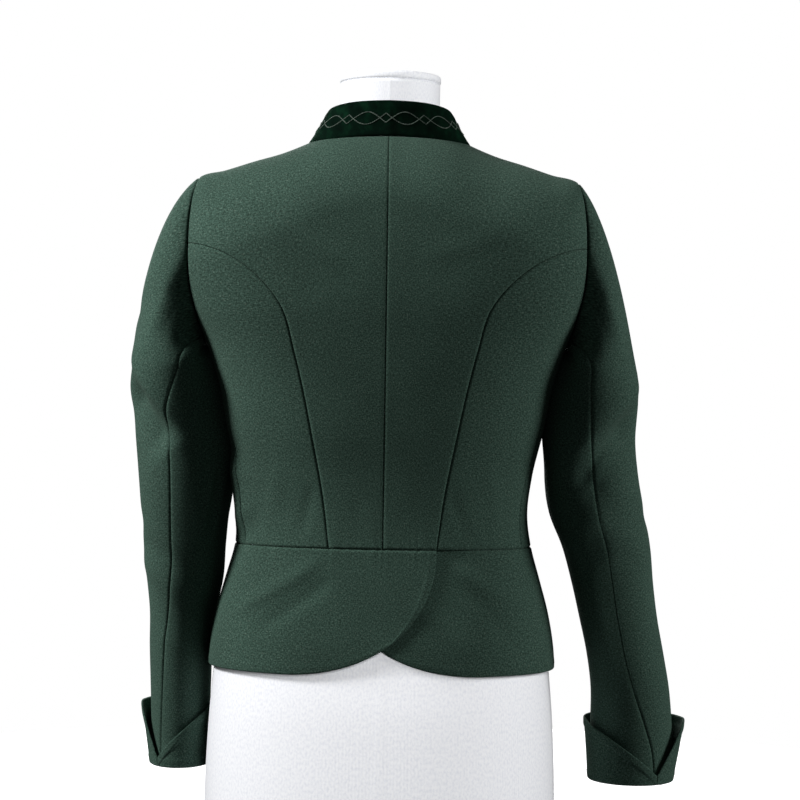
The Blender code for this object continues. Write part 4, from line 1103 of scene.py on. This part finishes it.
# The armhole from the shoulder tip down the back, under the arm and up the front. A point's
# role is its angle round it. In the CAD half a turn has 22 parts: 10 to the princess seam,
# 20 to the hind seam and 26 to the fore seam.
PRINCESS_ROLE = 10 * math.pi / 22
HIND_ROLE = 20 * math.pi / 22
FORE_ROLE = 26 * math.pi / 22
tip_roles = np.linspace(0.0, PRINCESS_ROLE, ARMHOLE_TIP_SPACES + 1)
low_roles = np.linspace(PRINCESS_ROLE, math.pi, ARMHOLE_LOW_SPACES + 1)
half_roles = np.concatenate((tip_roles, low_roles[1:]))
armhole_roles = np.concatenate((half_roles, 2 * math.pi - half_roles[-2::-1]))
armhole_turns = joined(
    seams["armhole_tip_back"], seams["armhole_low_back"],
    seams["armhole_low_front"][::-1], seams["armhole_tip_front"][::-1])
armhole = body_point(armhole_turns[:, 0], armhole_turns[:, 1])
print("armhole:", round(float(lengths_along(armhole)[-1])), "mm round")


# %% The sleeve as one tube
def sleeve_turns(rings, z, role):
    """Turn of each column: -120 to 0 in front, 0 to the hind seam, then on to 240 beneath."""
    hind = table_column(rings[::-1], 5, z)
    front = (FORE_SEAM_TURN - 360) * (2 * math.pi - role) / (2 * math.pi - FORE_ROLE)
    under = hind + (FORE_SEAM_TURN - hind) * (role - HIND_ROLE) / (FORE_ROLE - HIND_ROLE)
    top = np.where(role > FORE_ROLE, front, hind * role / HIND_ROLE)
    return np.where((role > HIND_ROLE) & (role < FORE_ROLE), under, top)


def sleeve_surface(rings, cap_tip, folds, role, beneath):
    """The head by Hermite curves, then the tube, then the folds, for columns of roles."""
    start = np.column_stack([np.interp(role, armhole_roles, armhole[:, c]) for c in range(3)])
    parts = np.column_stack((
        np.clip(np.cos(role), 0, 1) ** TIP_POWER, np.clip(-np.cos(role), 0, 1) ** UNDER_POWER,
        np.clip(np.sin(role), 0, 1), np.clip(-np.sin(role), 0, 1)))
    runs = parts @ np.array((cap_tip, CAP_UNDER, CAP_BACK, CAP_FRONT)) / parts.sum(1)[:, None]
    leave, arrive = runs[:, :3], runs[:, 3:] @ np.array(((1.0, 0, 0), (0, 0, 1.0)))
    top_z, end_z = rings[0][0], rings[-1][0]
    inside = np.clip(role, HIND_ROLE + NUDGE, FORE_ROLE - NUDGE) if beneath else role
    turn = sleeve_turns(rings, np.full(len(role), float(top_z)), inside)
    ring = tube_rings(rings, np.full(len(role), float(top_z)), turn)
    t = np.linspace(0.0, 1.0, HEAD_ROWS + 1)[:-1, None, None]
    head = start * (2 * t**3 - 3 * t**2 + 1) + leave * (t**3 - 2 * t**2 + t)
    head = head + ring * (3 * t**2 - 2 * t**3) + arrive * (t**3 - t**2)
    z = np.linspace(top_z, end_z, round((top_z - end_z) / TUBE_STEP) + 1)[:, None]
    turns = sleeve_turns(rings, np.broadcast_to(z, (len(z), len(role))), inside[None])
    tube = tube_rings(rings, np.broadcast_to(z, turns.shape), turns)
    points = np.concatenate((head, tube))
    turns = np.concatenate((np.broadcast_to(turn, (HEAD_ROWS, len(role))), turns))
    onset = np.concatenate((smooth_step(t[:, 0] / FOLD_ONSET), np.ones((len(z), 1))))
    arc = math.radians(1.0) * TUBE_RADIUS
    flat = np.stack((turns * arc, points[..., 2]), axis=-1)
    moved = np.zeros(turns.shape)
    for places, upper, lower, height in folds:
        path = np.array(places, float) * (arc, 1.0)
        for round_once in (0.0, 360.0, -360.0):
            moved += fold(flat - (round_once * arc, 0.0), path, upper, lower, height)
    below = np.linalg.norm(points - points[:1], axis=-1)
    ripples = puckers(lengths_along(start)[None], below, *HEAD_PUCKER)
    moved = moved * onset + ripples * smooth_step(below / HEAD_PUCKER_START)
    weave = np.stack((flat[..., 0], points[..., 2]), axis=-1)
    return points + outward(points) * moved[..., None], weave


# %% Both sleeves, each in two pieces
def sleeve_pieces(side, rings, cap_tip, folds):
    """Top and under sleeve; the wearer's right one is made on the left and mirrored."""
    front_roles = armhole_roles[armhole_roles > FORE_ROLE - TINY] - 2 * math.pi
    back_roles = armhole_roles[armhole_roles < HIND_ROLE + TINY]
    top_roles = np.mod(np.concatenate((front_roles, back_roles[1:])), 2 * math.pi)[::-1]
    under_roles = np.linspace(FORE_ROLE, HIND_ROLE, UNDER_COLUMNS + 1)
    for name, role, beneath in (
        ("top_sleeve_", top_roles, False), ("under_sleeve_", under_roles, True),
    ):
        points, weave = sleeve_surface(rings, cap_tip, folds, role, beneath)
        if side == "right":
            points, weave = (points * (-1.0, 1.0, 1.0))[:, ::-1], weave[:, ::-1]
        cloth_shell(name + side, points, weave, ("seam", "edge", "seam", "seam"), WOOL_WALL)


sleeve_pieces("left", LEFT_SLEEVE_RINGS, LEFT_CAP_TIP, LEFT_SLEEVE_FOLDS)
sleeve_pieces("right", RIGHT_SLEEVE_RINGS, RIGHT_CAP_TIP, RIGHT_SLEEVE_FOLDS)

# %% [markdown]
# ## Turned-back cuffs
#
# The sleeve's end is folded up into a cuff of 62 mm. The cuff is cut low at the hind seam,
# so it opens there in a V, and it stands off the sleeve more towards its upper edge. A
# ring at a turn is offset square to itself by stand + flare * (height / full)^1.3, and the
# upper edge follows the sine of the smaller of two spans, one long towards the body and
# one short outwards. A narrow facing is stitched down 9.5 mm below the edge.

# %% Cuff sizes
CUFF_HEIGHT = 62.0
CUFF_NOTCH_HEIGHT = 9.0
CUFF_DROP = 2.0
CUFF_WALL = 2.4
CUFF_STAND_OFF = 3.2
CUFF_FLARE_POWER = 1.3
CUFF_COLUMNS = 168
CUFF_ROWS = 34
CUFF_OUTER_SPAN = 62.0
CUFF_INNER_SPAN = 125.0
LEFT_CUFF_FLARE = (6.0, 0.3)
RIGHT_CUFF_FLARE = (9.0, 3.5)
# Radius that turns an angle round the cuff into a length.
CUFF_RADIUS = 45.0
# The facing: its stitching below the edge, its rise, and the width of the step there.
FACING_STITCH = 9.5
FACING_RISE = 0.55
FACING_STEP = 1.2
# A stitch: depth, length, half width of the dip, mean and swing of it along the seam.
STITCH_DIP = 0.5
STITCH_PITCH = 3.5
STITCH_WIDTH = 0.9
STITCH_MEAN = 0.6
STITCH_SWING = 0.4
# The upper edge's waves: height of all, then share, waves in a round and start of each.
CUFF_WAVE = 0.9
CUFF_WAVES = ((1.0, 3, 0.7), (0.5, 7, 2.0))
print("cuff:", CUFF_HEIGHT, "mm high,", CUFF_NOTCH_HEIGHT, "mm at the bottom of the V")


# %% Cuffs
def cuff_surface(rings, flare):
    """Points of the cuff from its upper edge down, all round from the hind seam."""
    rows = rings[::-1]
    end_z, seam = rings[-1][0], rings[-1][5]
    order = np.linspace(0.0, 360.0, CUFF_COLUMNS + 1)
    turn = seam + order
    rise = np.sin(math.pi / 2 * np.minimum(
        np.clip(order / CUFF_INNER_SPAN, 0, 1), np.clip((360 - order) / CUFF_OUTER_SPAN, 0, 1)))
    height = CUFF_NOTCH_HEIGHT + (CUFF_HEIGHT - CUFF_NOTCH_HEIGHT) * rise
    share = np.linspace(1.0, 0.0, CUFF_ROWS + 1)[:, None]
    z = end_z - CUFF_DROP + height * share
    angle = np.radians(turn)
    sideways = (1.0 + np.cos(angle)) / 2
    open_out = flare[1] + (flare[0] - flare[1]) * sideways
    out = CUFF_STAND_OFF + open_out * (height * share / CUFF_HEIGHT) ** CUFF_FLARE_POWER
    wave = sum(size * np.sin(count * angle + start) for size, count, start in CUFF_WAVES)
    out = out + np.maximum(CUFF_WAVE * wave * share**2 * rise, 0.0)
    below_edge = height * (1 - share)
    facing = smooth_step((FACING_STITCH - below_edge) / FACING_STEP + 0.5)
    stitches = 2 * math.pi * np.radians(order) * CUFF_RADIUS / STITCH_PITCH
    stitch = STITCH_MEAN + STITCH_SWING * np.cos(stitches)
    dip = np.exp(-((below_edge - FACING_STITCH) / STITCH_WIDTH) ** 2)
    out = out + FACING_RISE * facing - STITCH_DIP * stitch * dip
    level = np.maximum(z, end_z)
    points = tube_rings(rings, level, np.broadcast_to(turn, level.shape))
    half_across = (table_column(rows, 1, level) - table_column(rows, 2, level)) / 2
    half_deep = table_column(rows, 4, level)
    normal = np.stack((np.cos(angle) / half_across, np.sin(angle) / half_deep), axis=-1)
    normal = normal / np.linalg.norm(normal, axis=-1)[..., None]
    points[..., :2] += normal * out[..., None]
    points[..., 2] = z
    weave = np.stack((np.broadcast_to(turn * math.radians(1.0) * TUBE_RADIUS, z.shape), z), axis=-1)
    return points[:, ::-1], weave[:, ::-1]


CUFF_BORDERS = ("edge", "edge", "edge", "edge")
points, weave = cuff_surface(LEFT_SLEEVE_RINGS, LEFT_CUFF_FLARE)
cloth_shell("cuff_left", points, weave, CUFF_BORDERS, CUFF_WALL)
points, weave = cuff_surface(RIGHT_SLEEVE_RINGS, RIGHT_CUFF_FLARE)
points, weave = (points * (-1.0, 1.0, 1.0))[:, ::-1], weave[:, ::-1]
cloth_shell("cuff_right", points, weave, CUFF_BORDERS, CUFF_WALL)

# %% [markdown]
# ## The velvet collar
#
# A stand collar is one band, ruled between the neckline seam and a smaller top edge. Its
# pile hides the edges, so the top edge is rounded over by the wall's thickness, and the
# band is a little hollow near the seam, where it is sewn on and turned up.

# %% Collar
COLLAR_TOP = ((0, 743.5), (0.25, 742), (0.5, 735.5), (0.75, 714), (1, 690))
COLLAR_TOP_HALF_WIDTH = 62.0
COLLAR_TOP_MIDDLE_Y = -6.0
COLLAR_TOP_HALF_DEPTH = 56.0
COLLAR_WALL = 2.6
COLLAR_ROWS = 22
COLLAR_COLUMNS = 120
COLLAR_HOLLOW = 0.7


def neckline():
    """The collar seam on the left half, back to front, in equal lengths."""
    half = joined(seams["neck_back"], seams["neck_front"])
    base = body_point(half[:, 0], half[:, 1])
    along = lengths_along(base)
    at = np.linspace(0.0, along[-1], COLLAR_COLUMNS + 1)
    return np.column_stack([np.interp(at, along, base[:, c]) for c in range(3)])


def collar_surface(base):
    """(1 - v) top + v base, less a hollow of half a sine; both halves in one band."""
    share = np.linspace(0.0, 1.0, len(base))
    angle = share * math.pi
    top = np.column_stack((
        COLLAR_TOP_HALF_WIDTH * np.sin(angle),
        COLLAR_TOP_MIDDLE_Y + COLLAR_TOP_HALF_DEPTH * np.cos(angle),
        table_column(COLLAR_TOP, 1, share)))
    flip = np.array([-1.0, 1.0, 1.0])
    base = np.concatenate(((base * flip)[:0:-1], base))
    top = np.concatenate(((top * flip)[:0:-1], top))
    v = np.linspace(0.0, 1.0, COLLAR_ROWS + 1)[:, None, None]
    points = (1 - v) * top + v * base
    return points - outward(points) * COLLAR_HOLLOW * np.sin(math.pi * v**2)


collar = collar_surface(neckline())
down, _, across, _ = border_distances(collar)
collar_flat = np.stack((across - across[:, COLLAR_COLUMNS:COLLAR_COLUMNS + 1], -down), axis=-1)
collar_borders = ("edge", "seam", "edge", "edge")
cloth_shell("collar", collar, collar_flat, collar_borders, COLLAR_WALL, cloth="velvet")

# %% [markdown]
# ## Embroidery
#
# Two chain-stitched lines cross along the middle of the collar: between crossings they
# bow apart to a long lens, then run straight through a small diamond. Such a running
# pattern is common on folk jackets. Each line is worked out on the flat collar, as
# distance along and above the middle line, then laid on the collar's surface. A tube with
# beads as long as one stitch follows it, because real chain stitch looks like small links.

# %% The embroidered pattern
PERIOD = 39.0
LENS = 27.0
LENS_RISE = 6.2
DIAMOND_RISE = 4.6
PATTERN_SHIFT = 3.5
THREAD_RADIUS = 0.42
# Shares of the radius: between two stitches, the swell of a stitch, and the height of the
# thread's middle above the pile.
THREAD_WAIST = 0.72
THREAD_SWELL = 0.4
THREAD_HEIGHT = 0.5
STITCH_LENGTH = 2.2
THREAD_SIDES = 7
POINTS_PER_STITCH = 7
PATTERN_MARGIN = 10.0
MIDDLE_SHARE = 0.50


def pattern_rise(along):
    """Lens: rise * sin(pi s / lens); diamond: a straight-sided tent of the rest."""
    place = np.mod(along - PATTERN_SHIFT + (PERIOD - LENS) / 2, PERIOD)
    diamond = PERIOD - LENS
    tent = DIAMOND_RISE * (1 - np.abs(2 * place / diamond - 1))
    bow = LENS_RISE * np.sin(math.pi * (place - diamond) / LENS)
    return np.where(place < diamond, tent, bow)


print("stitches from one crossing to the same one again:", round(PERIOD / STITCH_LENGTH, 1))


# %% Thread laid on the collar
def on_collar(along, above):
    """Points and normals of the collar at a distance along its middle and above it."""
    row = np.full(len(along), COLLAR_ROWS * (1 - MIDDLE_SHARE))
    tall = down[-1]
    middle = round(COLLAR_ROWS * (1 - MIDDLE_SHARE))
    column = np.interp(along, collar_flat[middle, :, 0], np.arange(collar.shape[1]))
    height = np.interp(column, np.arange(collar.shape[1]), tall)
    row = np.clip(row - above / height * COLLAR_ROWS, 0.0, COLLAR_ROWS - NUDGE)
    i, j = row.astype(int), np.minimum(column.astype(int), collar.shape[1] - 2)
    s, t = (row - i)[:, None], (column - j)[:, None]
    placed = []
    for grid in (collar, outward(collar)):
        placed.append((1 - s) * ((1 - t) * grid[i, j] + t * grid[i, j + 1])
                      + s * ((1 - t) * grid[i + 1, j] + t * grid[i + 1, j + 1]))
    return placed


def thread_tube(points, normals):
    """A closed tube round a path; radius * (waist + swell * |sin(pi run / stitch)|)."""
    forward = np.gradient(points, axis=0)
    forward /= np.linalg.norm(forward, axis=1)[:, None]
    side = np.cross(forward, normals)
    side /= np.linalg.norm(side, axis=1)[:, None]
    up = np.cross(side, forward)
    run = lengths_along(points)
    link = np.abs(np.sin(math.pi * run / STITCH_LENGTH))
    radius = THREAD_RADIUS * (THREAD_WAIST + THREAD_SWELL * link)
    angle = np.linspace(0.0, 2 * math.pi, THREAD_SIDES, endpoint=False)
    ring = np.cos(angle)[None, :, None] * side[:, None] + np.sin(angle)[None, :, None] * up[:, None]
    tube = points[:, None] + ring * radius[:, None, None]
    start = np.repeat(points[:1, None], THREAD_SIDES, axis=1)
    end = np.repeat(points[-1:, None], THREAD_SIDES, axis=1)
    return np.concatenate((start, tube, end))


reach = float(collar_flat[COLLAR_ROWS // 2, -1, 0]) - PATTERN_MARGIN
count = int(2 * reach / STITCH_LENGTH * POINTS_PER_STITCH)
along = np.linspace(-reach, reach, count)
tubes = []
for sign in (1.0, -1.0):
    points, normals = on_collar(along, sign * pattern_rise(along))
    tubes.append(thread_tube(points + normals * THREAD_RADIUS * THREAD_HEIGHT, normals))
rows, sides = tubes[0].shape[:2]
faces = grid_faces(rows, sides, close=True)[:, ::-1]
both = np.concatenate((faces, faces + rows * sides))
new_piece("collar_embroidery", np.concatenate(tubes), both, "thread", weld=True)
print("embroidery:", len(both), "faces,", round(2 * reach), "mm long")

# %% [markdown]
# ## Horn buttons
#
# Seven round buttons close the front, which the photograph doesn't show. A horn button is
# turned on a lathe: a rounded rim, a shallow dish, and holes for the thread. Its profile,
# as share of the radius and share of the thickness, goes round in a circle, and each
# button stands square to the cloth where the CAD has it. The thread is a small bar in the
# dish, as left by a sewing machine.

# %% Button sizes
BUTTON_PROFILE = (
    (0.0, 0.0), (0.7, 0.0), (0.86, 0.02), (0.95, 0.16), (1.0, 0.38), (0.99, 0.6), (0.93, 0.84),
    (0.84, 0.97), (0.76, 1.0), (0.68, 0.95), (0.6, 0.82), (0.5, 0.72), (0.3, 0.68), (0.0, 0.67),
)
BUTTON_RADIUS = 9.5
BUTTON_THICKNESS = 4.6
BUTTON_SIDES = 48
BUTTON_TOP_Z = 640.0
BUTTON_BOTTOM_Z = 330.0
BUTTON_COUNT = 7
# The bar of thread: half sizes across, up and out, its place as a share of the thickness,
# and its rows.
THREAD_BAR = (2.4, 0.8, 0.6)
THREAD_BAR_PLACE = 0.69
THREAD_BAR_ROWS = 8
print("button profile:", len(BUTTON_PROFILE), "places,", BUTTON_THICKNESS, "mm thick")


# %% Buttons
def button_frame(number):
    """The button's middle from its CAD box, and its up and out directions from the block."""
    z = np.linspace(BUTTON_TOP_Z, BUTTON_BOTTOM_Z, BUTTON_COUNT)[number - 1]
    above, below = body_point(-math.pi / 2, np.array((z + BUTTON_RADIUS, z - BUTTON_RADIUS)))
    up = (above - below) / np.linalg.norm(above - below)
    low, high = np.array(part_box(f"button_{number}")) / METRES
    return (low + high) / 2, up, np.cross((1.0, 0.0, 0.0), up)


def turned(profile, centre, up, out):
    """A lathe: radius * cos and sin of each angle across and up, lift along out."""
    angle = np.linspace(0.0, 2 * math.pi, BUTTON_SIDES, endpoint=False)
    circle = np.outer(np.cos(angle), (1.0, 0.0, 0.0)) + np.outer(np.sin(angle), up)
    width, lift = np.array(profile).T
    rings = circle[None] * (BUTTON_RADIUS * width)[:, None, None]
    return centre + rings + out * (BUTTON_THICKNESS * (lift - 0.5))[:, None, None]


wide, tall, deep = THREAD_BAR
angle = np.linspace(0.0, 2 * math.pi, BUTTON_SIDES, endpoint=False)
tilt = np.linspace(-math.pi / 2, math.pi / 2, THREAD_BAR_ROWS + 1)[:, None]
faces = grid_faces(len(BUTTON_PROFILE), BUTTON_SIDES, close=True)
bar_faces = faces[:THREAD_BAR_ROWS * BUTTON_SIDES]
for number in range(1, BUTTON_COUNT + 1):
    solid = f"button_{number}"
    centre, up, out = button_frame(number)
    rings = turned(BUTTON_PROFILE, centre, up, out)
    new_piece(solid + "_horn", rings, faces, "horn", (solid,), weld=True)
    bar = (wide * np.cos(tilt) * np.cos(angle))[..., None] * (1.0, 0.0, 0.0)
    bar = bar + (tall * np.cos(tilt) * np.sin(angle))[..., None] * up
    bar = bar + (deep * np.sin(tilt) * np.ones(BUTTON_SIDES))[..., None] * out
    bar = bar + centre + out * BUTTON_THICKNESS * (THREAD_BAR_PLACE - 0.5)
    new_piece(solid + "_thread", bar, bar_faces, "thread", weld=True)
print("buttons:", BUTTON_COUNT, "each", 2 * BUTTON_RADIUS, "mm across")

# %% [markdown]
# ## The dress form
#
# The jacket sits on a padded form without limbs or head, covered in white jersey. Below
# the jacket it is a plain hip shape with a flat bottom, and inside it lies a few
# millimetres under the cloth. Its rings shrink under the shoulder ridge and blend into
# the round neck. The jersey is sewn up the middle of the back, and a band is turned in
# round the bottom edge.

# %% Form tables
# Height, half width, depth to the back, depth to the front, squareness.
FORM_HIP_RINGS = (
    (0, 171.5, 111.5, 110.0, 2.15), (4, 174.5, 114.5, 113.0, 2.15),
    (50, 174.5, 115.0, 113.0, 2.15), (100, 173.0, 114.0, 112.5, 2.15),
    (150, 170.0, 111.5, 110.5, 2.15), (185, 166.8, 107.5, 107.0, 2.15),
)
# Height, ease at back and front, ease at the sides.
FORM_EASE = (
    (205, 6.5, 6.5), (306, 7.5, 7.5), (420, 8.0, 8.0), (505, 8.0, 8.5), (560, 8.5, 14.0),
    (620, 9.0, 20.0), (740, 9.0, 20.0),
)
NECK_TOP_Z = 766.0
NECK_BLEND = (674.0, 732.0)
NECK_HALF = 50.0
NECK_HALF_DEPTH = 51.0
NECK_MIDDLE_Y = -9.0
FORM_RIDGE_DROP = 2.75
FORM_RIDGE_POWER = 1.3
FORM_COLUMNS = 240
FORM_ROWS = 230
# Rows round the rounded bottom edge, then the first of the even ones.
FORM_EDGE_ROWS = (0.0, 1.0, 2.2, 4.0)
FORM_FIRST_ROW = 6.0
# Depth and half width of the back seam.
FORM_SEAM = (0.5, 1.3)
# The turned-in band: bottom, top and rise, then depth and half width of the groove.
FORM_BAND = (3.0, 26.0, 0.5, 0.9, 1.4)
FORM_RADIUS = 150.0
print("form:", len(FORM_HIP_RINGS), "hip rings, neck", 2 * NECK_HALF, "mm wide")


# %% The form's surface
def form_surface(z, angle):
    """Block less ease above the hips, hip rings below; drawn to the ridge, then to the neck."""
    z, angle = np.broadcast_arrays(z[:, None], angle[None])
    hips = FORM_HIP_RINGS[-1][0]
    low = [table_column(FORM_HIP_RINGS, c, z) for c in (1, 2, 3, 4)]
    ease, side_ease = [table_column(FORM_EASE, c, z) for c in (1, 2)]
    half, back, front, square = ring_sizes(z)
    high = (half - side_ease, back - ease, front - ease, square)
    half, back, front, square = [np.where(z <= hips, a, b) for a, b in zip(low, high)]
    x_ridge = np.linspace(0.0, RIDGE[-1][0], DENSE)
    limit = np.interp(-z, -(ridge_height(x_ridge) - FORM_RIDGE_DROP), x_ridge)
    limit = np.where(z > ridge_height(0.0) - FORM_RIDGE_DROP, NECK_HALF, np.minimum(half, limit))
    x = limit * np.cos(angle)
    depth = np.where(np.sin(angle) >= 0, back, front)
    share = np.clip(1 - (np.abs(x) / half) ** square, 0, 1)
    y = np.sign(np.sin(angle)) * depth * share ** (1 / square)
    rounding = np.where(z > hips, shoulder_share(x, z, FORM_RIDGE_DROP) ** FORM_RIDGE_POWER, 1.0)
    y = np.where(z > hips, RIDGE_Y + (y - RIDGE_Y) * rounding, y)
    blend = smooth_step((z - NECK_BLEND[0]) / (NECK_BLEND[1] - NECK_BLEND[0]))
    x = x * (1 - blend) + NECK_HALF * np.cos(angle) * blend
    y = y * (1 - blend) + (NECK_MIDDLE_Y + NECK_HALF_DEPTH * np.sin(angle)) * blend
    return np.stack((x, y, z), axis=-1)


# %% The form's skin
angle = np.linspace(0.0, 2 * math.pi, FORM_COLUMNS + 1)
heights = np.concatenate((FORM_EDGE_ROWS, np.linspace(FORM_FIRST_ROW, NECK_TOP_Z, FORM_ROWS)))
skin = form_surface(heights, angle)
around = outward(skin)
level = heights[:, None]
depth, width = FORM_SEAM
behind = (skin[..., 1] > 0) * (level > FORM_EDGE_ROWS[-1])
seam = depth * np.exp(-(skin[..., 0] / width) ** 2) * behind
band_low, band_high, band_rise, groove, groove_width = FORM_BAND
seam = seam + groove * np.exp(-((level - band_high) / groove_width) ** 2)
seam = seam - band_rise * (level < band_high) * (level > band_low)
skin = skin + around * seam[..., None]
on_axis = (0, 0, 1.0)
bottom = skin[:1] * on_axis + (0, RIDGE_Y, 0)
top = skin[-1:] * on_axis + (0, NECK_MIDDLE_Y, 0)
rings = np.concatenate((bottom, skin, top))
flat = np.stack(np.broadcast_arrays(angle * FORM_RADIUS, rings[..., 2]), axis=-1)
faces = grid_faces(*rings.shape[:2])
torso = new_piece(
    "form_torso", rings, faces, "form_jersey", ("form_body",), flat, weld=True)
print("form:", len(faces), "faces")

# %% The neck disc
# The disc lies this high above the form; its profile is growth beyond the neck and lift.
CAP_LIFT = 0.3
CAP_PROFILE = (
    (-NECK_HALF, 0.0), (-1.6, 0.0), (-0.6, 0.3), (0.4, 1.2), (0.8, 2.4), (0.8, 5.6),
    (0.4, 6.8), (-0.6, 7.7), (-1.8, 8.0), (-3.4, 7.75), (-5.4, 7.7), (-NECK_HALF, 7.7),
)
grow, lift = np.array(CAP_PROFILE).T[:, :, None]
middle = np.maximum(NECK_HALF_DEPTH + grow, 0.0) * (grow > -NECK_HALF)
disc = np.stack(np.broadcast_arrays(
    (NECK_HALF + grow) * np.cos(angle), NECK_MIDDLE_Y + middle * np.sin(angle),
    NECK_TOP_Z + CAP_LIFT + lift), axis=-1)
flat = np.stack((disc[..., 0], disc[..., 1] + disc[..., 2]), axis=-1)
new_piece("form_neck_disc", disc, grid_faces(*disc.shape[:2]), "form_jersey",
          ("form_neck_cap",), flat, weld=True)
print("neck disc:", disc.shape[0] * disc.shape[1], "points")

# %% [markdown]
# ## Light and floor
#
# The photograph is a plain catalogue shot: a big soft light from the upper left of the
# picture, a weaker one from the right, and a background lit to near white. Large area
# lights give the same soft shading; their size matters more than their place. The world
# is an even white, plain where the camera sees it and dimmer where it lights the cloth, so
# that the folds keep their shadows. The floor is a round sheet of white acrylic with a
# painted glow of its own, which makes the shadows on it faint, and it throws no light back
# up, because the photograph has none of it under the arms. White jersey beside dark wool
# would turn grey in this light, so the form has a light of its own. Colours are shown
# without a film curve, so that a hex value of a material comes out as itself where the
# light is even.

# %% World and lights
LIGHTS = (
    # Name, place, size, power in watts, aimed at.
    ("key", (2.4, 0.62, 2.15), 0.8, 104.0, (0.0, 0.0, 0.42)),
    ("fill", (-2.6, 0.6, 1.2), 1.1, 40.0, (0.0, 0.0, 0.42)),
    ("front", (0.5, -2.6, 1.6), 1.6, 50.0, (0.0, 0.0, 0.42)),
    ("form_light", (-0.3, 2.7, 0.9), 1.6, 46.0, (0.0, 0.0, 0.3)),
)
SEEN_WORLD = 1.0
LIGHTING_WORLD = 0.055

bpy.context.scene.view_settings.view_transform = "Standard"

world = bpy.data.worlds.new("studio")
world.use_nodes = True
rays = add_node(world.node_tree, "ShaderNodeLightPath")
strength = add_node(world.node_tree, "ShaderNodeMapRange", {
    "Value": rays.outputs["Is Camera Ray"], "To Min": LIGHTING_WORLD, "To Max": SEEN_WORLD})
background = world.node_tree.nodes["Background"]
background.inputs["Color"].default_value = linear("#ffffff")
world.node_tree.links.new(strength.outputs["Result"], background.inputs["Strength"])
bpy.context.scene.world = world

for name, place, size, power, target in LIGHTS:
    light = bpy.data.lights.new(name, "AREA")
    light.shape = "DISK"
    light.size = size
    light.energy = power
    lamp = bpy.data.objects.new(name, light)
    lamp.location = place
    aim = mathutils.Vector(target) - mathutils.Vector(place)
    lamp.rotation_euler = aim.to_track_quat("-Z", "Y").to_euler()
    bpy.context.scene.collection.objects.link(lamp)
    if name == "form_light":
        lit = bpy.data.collections.new("lit_by_form_light")
        for piece in ("form_torso", "form_neck_disc"):
            lit.objects.link(bpy.data.objects[piece])
        lamp.light_linking.receiver_collection = lit
print("lights:", ", ".join(row[0] for row in LIGHTS))

# %% Floor
FLOOR_RADIUS = 0.9
FLOOR_SIDES = 96
# A painted glow: the floor shines by itself, which makes the shadows on it faint.
FLOOR_PAINTED_GLOW = 0.5
# Patches of dust per metre.
DUST_SCALE = 3.0
FLOOR_WHITES = ((0.3, "#f7f7f8"), (0.7, "#fbfbfc"))

acrylic, tree, shader = new_material(
    "white_acrylic_floor", Roughness=0.9, Specular_IOR_Level=0.1,
    Emission_Color=linear("#ffffff"), Emission_Strength=FLOOR_PAINTED_GLOW)
where = add_node(tree, "ShaderNodeTexCoord")
dust = add_node(tree, "ShaderNodeTexNoise", {
    "Vector": where.outputs["Object"], "Scale": DUST_SCALE, "Detail": 2.0})
dusty = add_node(tree, "ShaderNodeValToRGB", {"Fac": dust.outputs["Fac"]}, FLOOR_WHITES)
tree.links.new(dusty.outputs["Color"], shader.inputs["Base Color"])
mesh = bpy.data.meshes.new("floor")
angle = np.linspace(0.0, 2 * math.pi, FLOOR_SIDES, endpoint=False)
rim = np.column_stack((np.cos(angle), np.sin(angle), np.zeros(FLOOR_SIDES))) * FLOOR_RADIUS
mesh.from_pydata(rim.tolist(), [], [tuple(range(FLOOR_SIDES))])
mesh.materials.append(acrylic)
floor = bpy.data.objects.new("floor", mesh)
bpy.context.scene.collection.objects.link(floor)
floor.visible_diffuse = False
floor.visible_glossy = False
print("floor:", FLOOR_RADIUS, "m in radius")
